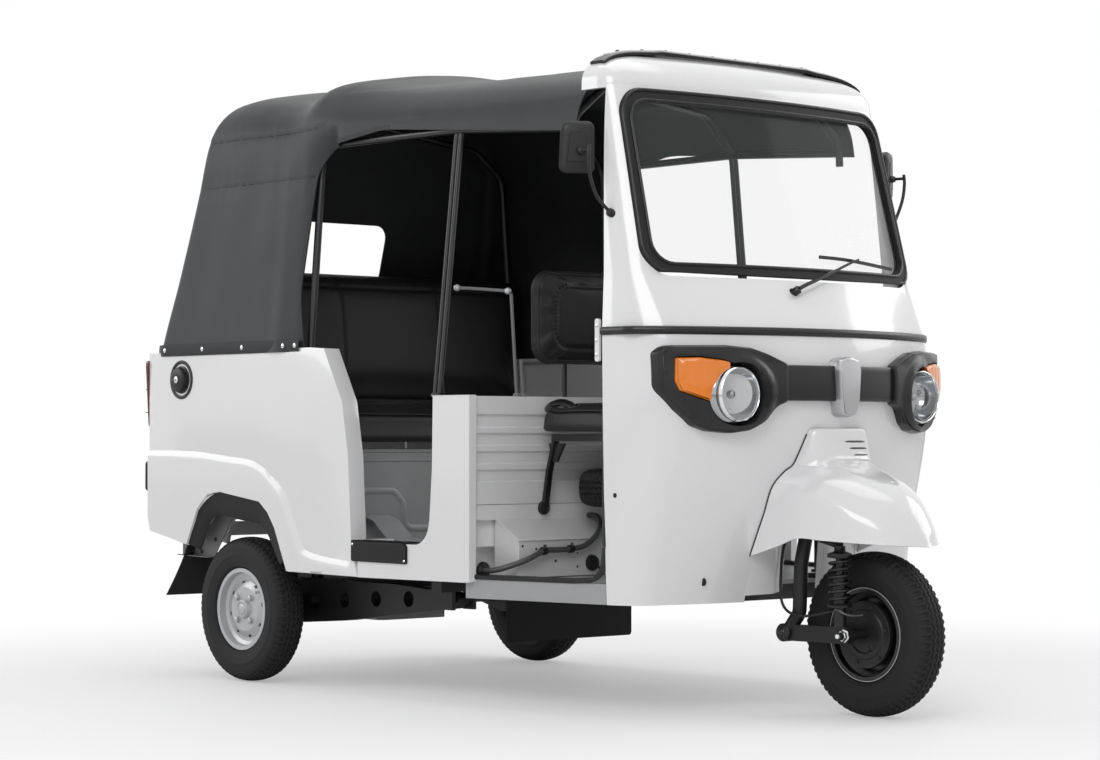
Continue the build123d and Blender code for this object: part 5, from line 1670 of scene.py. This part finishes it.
def make_quarters():
    """The CAD side panels with a thinner doorway jamb and rounded edges, and the arch surrounds."""
    for label, side in (("right", -1), ("left", 1)):
        piece = bpy.data.objects.new(f"quarter_{label}_shell", nodes[f"quarter_panel_{label}"].data.copy())
        scene.collection.objects.link(piece)
        jamb = [(-0.582, 0.492), (-0.300, 0.492), (-0.300, 1.130), (-0.582, 1.130)]
        low, high = sorted((side * 0.500, side * 0.658))
        cut_away(piece, cutter(jamb, "xz", low, high))
        bevel(piece, 0.007, 3, 50)
        apply_modifiers(piece)
        piece.data.materials.clear()
        piece.data.materials.append(white_paint)
        shade(piece.data, 50)
        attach(piece, "chassis")
        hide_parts(f"quarter_panel_{label}")

    form = Form()
    outline = rounded(crease_outline, 0.0, 8)
    dense = dense_loop(outline, 0.02)
    crease = rounded(crease_outline[:crease_corners] + [(-1.49, 0.30, 0.0)], 0.0, 8)
    crease_line = []
    for a, b in zip(crease[:-1], crease[1:]):
        if max(a.y, b.y) < 0.36 or (b - a).length > 0.5:
            continue
        parts = max(1, int((b - a).length / 0.01))
        crease_line += [a + (b - a) * k / parts for k in range(parts + 1)]
    verts, faces = filled(dense, [], 0.012)
    raised = []
    for v in verts:
        gap = min((v - q).length for q in crease_line)
        share = min(1.0, gap / surround_blend)
        out = -0.0006 + surround_rise * ease(share)
        raised.append(Vector((v.x, -(body_side + out), v.y)))
    form.add(raised, faces)
    rim = [Vector((q.x, -(body_side - 0.002), q.y)) for q in dense]
    edge = []
    for q in dense:
        share = min(1.0, min((q - c).length for c in crease_line) / surround_blend)
        edge.append(Vector((q.x, -(body_side - 0.0006 + surround_rise * ease(share)), q.y)))
    form.grid([edge, rim], closed_across=True)
    form.mirrored()
    form.make("arch_surrounds", "white_paint", angle=45, weld=0.00001)


def make_tail_corners():
    """Tail lamps with their bars, and the rubber pads below them."""
    lamps = Form()
    y_in, y_out, z_low, z_high = -0.600, -0.7265, 0.852, 1.086
    outline = rounded([(y_in, z_low), (y_out + 0.012, z_low), (y_out, z_high - 0.02), (y_out, z_high),
                       (y_in, z_high)], 0.014, 5)
    for inward, x0, x1 in ((0.0, -1.490, -1.504), (0.004, -1.504, -1.509)):
        lamps.solid([tuple(q) for q in shrunk(outline, inward)], "yz", x1, x0)
    lamps.mirrored()
    lamps.make("tail_lamp_lenses", "red_lens", replaces=["tail_lamps"], angle=30)
    bars = Form()
    for z in (0.905, 0.985):
        bars.block((-1.5105, -0.722, z - 0.0015), (-1.503, -0.605, z + 0.0015))
    bars.mirrored()
    bars.make("tail_lamp_bars", "black_plastic", angle=30)
    pads = Form()
    outline = rounded([(-0.575, 0.632), (-0.7265, 0.632), (-0.7265, 0.736), (-0.575, 0.736)], 0.012, 5)
    pads.solid([tuple(q) for q in outline], "yz", -1.506, -1.488)
    pads.solid([tuple(q) for q in shrunk(outline, 0.006)], "yz", -1.510, -1.505)
    pads.mirrored()
    pads.make("corner_pads", "rubber", replaces=["bumper_blocks"], angle=30)


def make_canopy_frame():
    """Hoops, side rails and the twin pillars with their feet."""
    form = Form()
    rail_z, tube_radius = 1.775, 0.0125
    hoops = [(-1.165, 1.935, 1.112, 0.672, 0.618, 0.0125), (-0.620, 1.985, 1.112, 0.672, 0.622, 0.0125),
             (0.045, 1.962, 0.4875, 0.6978, 0.606, 0.008), (0.066, 1.962, 0.4875, 0.6978, 0.606, 0.008),
             (0.560, 1.938, 1.700, 0.586, 0.584, 0.0125)]
    for x, crown, foot_z, foot_y, side_y, r in hoops:
        half = [(foot_y, foot_z)]
        if foot_z < 0.9:
            half.append((foot_y - 0.004, 0.945))
        half += [(side_y, rail_z), (side_y - 0.130, crown - 0.060)]
        points = [(x, -y, z) for y, z in half] + [(x, 0, crown)] + [(x, y, z) for y, z in reversed(half)]
        form.tube(bent(points, 0.08), r, 14)
    for side in (-1, 1):
        form.tube(bent([(-0.620, side * 0.622, rail_z), (0.055, side * 0.606, rail_z),
                        (0.560, side * 0.582, 1.742)], 0.2), tube_radius, 14)
        form.turned([(0.0, 0.006), (0.016, 0.005), (0.020, 0.0), (0.020, -0.006)],
                    (0.055, side * 0.694, 0.951),
                    (0, 0, 1), 20)
        form.solid([(0.030, 0.948), (0.083, 0.948), (0.079, 1.010), (0.034, 1.010)], "xz",
                   *sorted((side * 0.6900, side * 0.6865)))
    form.make("canopy_hoops", "black_frame", replaces=["canopy_frame"], angle=50)


def make_mirrors():
    """Bent arm, joint and head of each door mirror."""
    form = Form()
    for side in (-1, 1):
        form.turned([(0.0, 0.012), (0.008, 0.0115), (0.0125, 0.007), (0.013, -0.010)],
                    (0.752, side * 0.612, 1.475), (-0.25, side * 1.0, 0.45), 20)
        arm = spline([(0.751, side * 0.608, 1.472), (0.740, side * 0.655, 1.520),
                      (0.742, side * 0.686, 1.585),
                      (0.745, side * 0.693, 1.640), (0.744, side * 0.690, 1.668)], 0.012)
        form.tube(arm, 0.0052, 12)
        form.tube([(0.744, side * 0.690, 1.655), (0.700, side * 0.684, 1.655)], 0.0048, 12)
        form.turned([(0.0, 0.014), (0.009, 0.010), (0.012, 0.0), (0.009, -0.010), (0.0, -0.014)],
                    (0.700, side * 0.684, 1.655), (1, side * 0.6, 0), 16)
        head = Vector((0.680, side * 0.682, 1.668))
        turn = Matrix.Rotation(radians(32 * side), 3, "Z")
        shape = [(-0.052, -0.076, 0.02), (0.053, -0.076, 0.016), (0.053, 0.076, 0.02),
                 (-0.046, 0.076, 0.03)]
        outline = rounded(shape, 0.02, 5)
        rows = []
        for inward, depth in ((0.006, -0.0125), (0.0015, -0.0115), (0.0, -0.008), (0.0, 0.004),
                              (0.006, 0.0095),
                              (0.015, 0.0125)):
            rows.append([head + turn @ Vector((depth, q.x, q.y))
                         for q in shrunk(outline, inward)])
        form.grid(rows, closed_across=True)
        form.close_ends(len(rows[0]), len(rows))
        panel = rounded([(-0.030, -0.045), (0.034, -0.045), (0.026, 0.045), (-0.022, 0.045)], 0.006, 4)
        rows = [[head + turn @ Vector((0.0125 + lift, q.x, q.y))
                 for q in shrunk(panel, inward)]
                for inward, lift in ((0.0, -0.001), (0.0015, 0.0022), (0.006, 0.0024))]
        form.grid(rows, closed_across=True)
        width = len(panel)
        base = len(form.verts) - width
        form.faces.append(tuple(range(base, base + width)))
    form.make("door_mirrors", "black_plastic", replaces=["mirrors"], angle=35)


def make_wiper():
    """Pivot, arm and blade of the wiper."""
    form = Form()
    form.turned([(0.0, 0.034), (0.008, 0.033), (0.0125, 0.028), (0.013, 0.010), (0.016, 0.006),
                 (0.016, -0.004)],
                (0.974, -0.078, 1.247), (0.9, 0, 0.42), 24)
    arm = spline([(1.003, -0.078, 1.262), (0.999, -0.040, 1.276), (0.976, 0.070, 1.308),
                  (0.948, 0.190, 1.345),
                  (0.934, 0.262, 1.366)], 0.015)
    form.sweep(arm, [(0.003, -0.0045), (0.003, 0.0045), (-0.003, 0.0035), (-0.003, -0.0035)],
               up=(0, 0.3, 1),
               scale=lambda t: 1.25 - 0.55 * t)
    blade = spline([(0.930, 0.090, 1.3675), (0.922, 0.200, 1.3650), (0.912, 0.300, 1.3590),
                    (0.884, 0.468, 1.3470)],
                   0.02)
    form.sweep(blade, [(0.0035, -0.006), (0.0035, 0.004), (-0.0035, 0.004), (-0.0035, -0.006)],
               up=(0, 0, 1))
    form.make("wiper_arm", "black_plastic", mat=gloss_black, replaces=["wiper"], angle=40)


# Cab and passenger space: bulkhead, equipment box, hoses, seat frame, step and seat box details
def make_bulkhead():
    """Pressed face of the bulkhead with its recessed grooves, its seam and its caps."""
    form = Form()
    face_x = 0.2215
    levels = [(0.944, 1), (0.888, 1), (0.888, 0), (0.850, 0), (0.850, 1), (0.831, 1), (0.831, 0),
              (0.795, 0),
              (0.795, 1), (0.775, 1), (0.775, 0), (0.740, 0), (0.740, 1), (0.719, 1), (0.719, 0), (0.684,
                                                                                                   0),
              (0.684, 1), (0.566, 1)]
    rise = 0.010
    slope = 0.004
    profile = []
    for z, up in levels:
        profile.append((face_x + (rise if up else 0.002), z))
    rows = []
    ends = (-0.6900, -0.6860, 0.6860, 0.6900)
    for y in ends:
        flat = abs(y) > 0.688
        row = []
        for i, (x, z) in enumerate(profile):
            before = profile[i - 1][0] if i else x
            after = profile[i + 1][0] if i + 1 < len(profile) else x
            shift = 0.0
            if before != x:
                shift = -slope / 2
            elif after != x:
                shift = slope / 2
            row.append(Vector((face_x + rise if flat else x, y, z + shift)))
        rows.append(row)
    form.grid(rows)
    form.block((0.2165, -0.690, 0.566), (face_x + 0.0005, 0.690, 0.944))
    form.make("bulkhead_pressing", "white_paint", angle=25)
    seams = Form()
    seams.block((face_x + rise, -0.688, 0.6125), (face_x + rise + 0.0006, 0.688, 0.6140))
    seams.make("bulkhead_seams", "grey_paint", mat=bracket_grey, angle=30)
    caps = Form()
    for side in (-1, 1):
        near, far = sorted((side * 0.7215, side * 0.6925))
        caps.block((0.2165, near, 0.380), (0.2395, far, 0.944))
        caps.block((0.0620, near, 0.9440), (0.2395, far, 0.9475))
    piece = caps.make("bulkhead_caps", "white_paint", angle=30)
    bevel(piece, 0.0012, 2)
    apply_modifiers(piece)


box_front, box_far, box_near = 0.330, -0.060, -0.600
hose_x = 0.3483


def make_equipment_box():
    """White box in front of the bulkhead, its plugs, and the air hose with its clamps."""
    form = Form()
    outline = [(0.2165, 0.392), (box_front, 0.392), (box_front, 0.506), (0.2165, 0.573)]
    form.solid(outline, "xz", box_near, box_far)
    form.solid([(0.2165, 0.575), (box_front + 0.004, 0.5075), (box_front + 0.004, 0.5035), (0.2165, 0.571)],
               "xz",
               box_near - 0.004, box_far + 0.004)
    piece = form.make("equipment_case", "housing_plastic", mat=white_plastic, replaces=["equipment_box"],
                      angle=30)
    bevel(piece, 0.003, 2)
    apply_modifiers(piece)
    holes = Form()
    for y, z, r in ((-0.585, 0.488, 0.0035), (-0.53, 0.478, 0.0035), (-0.45, 0.440, 0.004),
                    (-0.36, 0.420, 0.0035),
                    (-0.36, 0.462, 0.0025), (-0.24, 0.47, 0.003), (-0.27, 0.415, 0.004), (-0.13, 0.45,
                                                                                          0.0035)):
        holes.turned([(0.0, 0.0012), (r, 0.0012), (r * 1.1, 0.0004), (r * 1.1, -0.001)], (box_front, y, z),
                     (1, 0, 0), 14)
    holes.turned([(0.0, 0.012), (0.020, 0.012), (0.024, 0.009), (0.026, 0.0), (0.026, -0.002)],
                 (box_front, -0.300, 0.430), (1, 0, 0), 28)
    holes.make("equipment_case_plugs", "black_plastic", mat=gloss_black, angle=35)
    hose = Form()
    route = [(0.2225, -0.660, 0.414), (0.255, -0.662, 0.414), (0.310, -0.655, 0.421),
             (0.350, -0.590, 0.446),
             (hose_x, -0.515, 0.472), (hose_x, -0.460, 0.4745), (hose_x, -0.404, 0.476), (0.350, -0.345,
                                                                                          0.486),
             (0.345, -0.290, 0.520), (0.315, -0.250, 0.552), (0.270, -0.226, 0.572), (0.2170, -0.222,
                                                                                      0.574)]
    line = spline(route, 0.006)
    hose.tube(line, 0.0088, 14)
    hose.make("air_hose_tube", "rubber", mat=hose_grey, angle=60)
    clamps = Form()
    for y, z in ((-0.515, 0.472), (-0.404, 0.476)):
        clamps.turned([(0.0095, -0.008), (0.0125, -0.008), (0.0125, 0.008), (0.0095, 0.008)],
                      (hose_x, y, z),
                      (0, 1, 0.02), 28, close=True)
        clamps.turned([(0.0, 0.003), (0.0045, 0.003), (0.0050, 0.0), (0.0045, -0.016), (0.0, -0.016)],
                      (hose_x + 0.006, y, z + 0.017), (0, 0, 1), 6)
        clamps.block((box_front, y - 0.006, z - 0.004), (hose_x - 0.009, y + 0.006, z + 0.004))
    clamps.turned([(0.0095, 0.010), (0.014, 0.009), (0.020, 0.005), (0.026, 0.004), (0.027, 0.0),
                   (0.0095, 0.0)],
                  (0.2325, -0.660, 0.414), (1, 0, 0), 32, close=True)
    clamps.make("air_hose_clamps", "black_plastic", mat=gloss_black, angle=35)


def make_seat_frame():
    """Stand and latch of the driver's seat, and the stays of its backrest."""
    form = Form()
    outline = rounded([(0.280, -0.440), (0.650, -0.440), (0.650, 0.440), (0.280, 0.440)], 0.03, 5)
    form.solid([tuple(q) for q in outline], "xy", 0.806, 0.8285)
    for side in (-1, 1):
        form.tube([(0.620, side * 0.415, 0.3910), (0.620, side * 0.415, 0.812)], 0.0125, 14)
        form.turned([(0.0, 0.008), (0.020, 0.008), (0.022, 0.006), (0.022, 0.0)],
                    (0.620, side * 0.415, 0.3905),
                    (0, 0, 1), 24)
        form.sweep([(0.292, side * 0.415, 0.812), (0.262, side * 0.415, 0.715),
                    (0.2420, side * 0.415, 0.604)],
                   [(0.010, -0.006), (0.010, 0.006), (-0.010, 0.006), (-0.010, -0.006)], up=(1, 0, 0))
        form.turned([(0.0, 0.016), (0.009, 0.015), (0.020, 0.010), (0.022, 0.0)],
                    (0.2325, side * 0.415, 0.600),
                    (1, 0, 0), 24)
        form.solid([(0.262, 0.800), (0.335, 0.800), (0.300, 0.742), (0.282, 0.742)], "xz",
                   *sorted((side * 0.411, side * 0.419)))
    form.make("driver_seat_stand", "black_frame", replaces=["driver_seat_frame"], angle=35)
    latch = Form()
    rows = []
    for k in range(13):
        t = k / 12
        x = 0.255 + 0.150 * t
        high = 0.040 * sin(pi * min(1.0,
                                    t * 1.15 + 0.02)) ** 0.6 if t < 0.85 else 0.040 * 0.55 * (1 - t) / 0.15
        row = []
        for j in range(12):
            a = 2 * pi * j / 12
            row.append(Vector((x, -0.415 + 0.030 * cos(a) * (1 - 0.5 * abs(2 * t - 1) ** 3),
                               0.905 + max(-0.4, sin(a)) * (0.010 + high * 0.55))))
        rows.append(row)
    latch.grid(rows, closed_across=True)
    latch.close_ends(12, len(rows))
    latch.tube([(0.300, -0.4465, 0.917), (0.345, -0.4475, 0.921), (0.372, -0.4465, 0.912)], 0.0035, 8)
    latch.make("driver_seat_latch", "black_plastic", mat=gloss_black, angle=45)
    rods = Form()
    for y in (-0.505, -0.480):
        top = 1.262 if y < -0.49 else 1.060
        rods.tube([(0.211, y + 0.022 * (0.949 - z) / 0.30, z) for z in (0.949, 1.00, 1.10, top)
                   if z <= top], 0.0052, 10)
        rods.turned([(0.0, 0.008), (0.010, 0.007), (0.012, 0.0), (0.012, -0.003)], (0.211, y, 0.9475),
                    (0, 0, 1), 16)
    rods.tube([(0.040, -0.600, 1.284), (0.120, -0.572, 1.278), (0.205, -0.538, 1.270)], 0.0052, 10)
    rods.make("backrest_stays", "steel_part", mat=bracket_grey, angle=50)
    ends = Form()
    for p in ((0.040, -0.602, 1.284), (0.205, -0.536, 1.270)):
        ends.turned([(0.0, 0.011), (0.007, 0.009), (0.0105, 0.002), (0.0105, -0.002), (0.007, -0.009),
                     (0.0, -0.011)],
                    p, (0.3, 1, 0), 16)
    ends.make("stay_joints", "chrome_trim", mat=rim_silver, angle=60)


def make_seat_box_relief():
    """Pressed relief on the passenger seat box and the bracket in front of it."""
    face_x = -0.6275
    form = Form()
    for side in (-1, 1):
        points = [(-0.600, 0.512), (-0.520, 0.512), (-0.510, 0.600), (-0.465, 0.640), (-0.320, 0.640),
                  (-0.278, 0.600), (-0.268, 0.512), (-0.02, 0.512)]
        line = bent([(face_x, side * -y, z) for y, z in points], 0.035, 6)
        form.sweep(line, [(-0.013, -0.002), (-0.007, 0.0045), (0.007, 0.0045), (0.013, -0.002)],
                   up=(1, 0, 0))
    for z in (0.742, 0.772):
        form.sweep([(face_x, -0.535, z), (face_x, 0.0, z), (face_x, 0.535, z)],
                   [(-0.006, -0.002), (-0.003, 0.003), (0.003, 0.003), (0.006, -0.002)], up=(1, 0, 0))
    form.make("seat_box_relief", "grey_paint", angle=50)
    bracket = Form()
    rows = []
    for x, z, y0, y1 in ((-0.6235, 0.560, -0.452, -0.345), (-0.560, 0.545, -0.462, -0.352),
                         (-0.470, 0.4885, -0.475, -0.364), (-0.280, 0.4878, -0.560, -0.440)):
        rows.append([Vector((x, y0, z)), Vector((x, y1, z)), Vector((x, y1, z - 0.003)),
                     Vector((x, y0, z - 0.003))])
    bracket.grid(rows, closed_across=True)
    bracket.close_ends(4, len(rows))
    bracket.make("floor_bracket", "grey_paint", mat=rim_silver, angle=30)


def make_fork_details():
    """Ribbed brake hose, spring coils, axle nut, link pin and brake pipe on the steering."""
    hose_points = [(1.058, -0.036, 0.592), (1.024, -0.060, 0.588), (0.990, -0.088, 0.556),
                   (0.972, -0.106, 0.510),
                   (0.965, -0.114, 0.460), (0.964, -0.118, 0.412), (0.970, -0.126, 0.366), (0.988, -0.138,
                                                                                            0.328),
                   (1.020, -0.146, 0.304), (1.064, -0.148, 0.294), (1.112, -0.146, 0.296), (1.152, -0.142,
                                                                                            0.304),
                   (1.184, -0.128, 0.312)]
    line = spline(hose_points, 0.0016)
    hose = Form()
    hose.tube(line, 0.0042, 10, scale=lambda t: 1.0 + 0.13 * sin(t * len(line) * 2 * pi / 4))
    hose.make("brake_hose_ribbed", "rubber", body="steering", mat=steel_black, angle=80)
    coil = Form()
    turns = 6.5
    low, high = 0.332, 0.470
    path = []
    count = int(turns * 22)
    for k in range(count + 1):
        t = k / count
        a = 2 * pi * turns * t
        path.append(Vector((1.200 + 0.0295 * cos(a), -0.118 + 0.0295 * sin(a), low + (high - low) * t)))
    coil.tube(path, 0.0048, 10)
    body_profile = [(0.0, -0.0655), (0.018, -0.0655), (0.018, -0.008), (0.036, -0.006), (0.037, 0.0),
                    (0.034, 0.003),
                    (0.020, 0.005), (0.0195, 0.085), (0.012, 0.088), (0.012, 0.136), (0.035, 0.138), (0.037,
                                                                                                      0.142),
                    (0.036, 0.150), (0.018, 0.156), (0.0165, 0.158), (0.0165, 0.172), (0.0, 0.172)]
    coil.turned(body_profile, (1.200, -0.118, 0.330), (0, 0, 1), 36)
    coil.make("front_spring", "steel_part", body="steering", mat=gloss_black, replaces=["front_damper"],
              angle=50)
    nut = Form()
    nut.turned([(0.0, 0.034), (0.007, 0.034), (0.0085, 0.032), (0.0085, 0.016), (0.0150, 0.016),
                (0.0165, 0.013),
                (0.0165, 0.004), (0.020, 0.003), (0.020, -0.001)], (1.230, -0.131, 0.242), (0, -1, 0), 6)
    nut.make("front_axle_nut", "chrome_trim", body="steering", mat=chrome, angle=30)
    pin = Form()
    pin.turned([(0.0, 0.012), (0.008, 0.012), (0.012, 0.008), (0.024, 0.006), (0.027, 0.002),
                (0.027, -0.030),
                (0.0, -0.030)], (0.985, -0.131, 0.240), (0, -1, 0), 28)
    pin.make("front_link_pin", "steel_part", body="steering", mat=gloss_black, angle=35)
    pipe = Form()
    pipe.tube(spline([(1.184, -0.128, 0.312), (1.205, -0.136, 0.318), (1.228, -0.130, 0.306),
                      (1.236, -0.105, 0.300),
                      (1.238, -0.062, 0.300)], 0.004), 0.0026, 8)
    pipe.make("brake_pipe", "steel_part", body="steering", mat=bracket_grey, angle=60)


def dress_nodes():
    """Every carried-over CAD node gets the finish of its slot."""
    for row in frame["record"]["subparts"]:
        piece = nodes[row["node"]]
        piece.data.materials.clear()
        piece.data.materials.append(finish[row["material_slot"]])


add_camera()
add_stage()
add_light("key", (4.5, -5.5, 5.0), (0.2, 0, 0.8), (4.0, 3.0), 160)
add_light("fill", (-5.5, -4.5, 3.5), (0, 0, 0.8), (4.0, 3.0), 90)
add_light("top", (0.0, 0.5, 6.0), (0, 0, 0), (6.0, 4.0), 112)
add_light("rim", (2.5, 6.0, 4.0), (0, 0, 1), (4.0, 3.0), 75)
dress_nodes()


canopy = make_canopy()
graph = bpy.context.evaluated_depsgraph_get()
canopy_tree = BVHTree.FromObject(canopy, graph)
make_canopy_trim()
make_nose()
make_belt_strip()
make_wheels()
make_spare()
make_seats()
make_guard()
make_quarters()
make_tail_corners()
make_canopy_frame()
make_mirrors()
make_wiper()
make_bulkhead()
make_equipment_box()
make_seat_frame()
make_seat_box_relief()
make_fork_details()
make_arch_trims()
make_roof_clamp()
make_screen_bead()
make_caps()
make_sill_trim()

scene.view_settings.view_transform = "Standard"
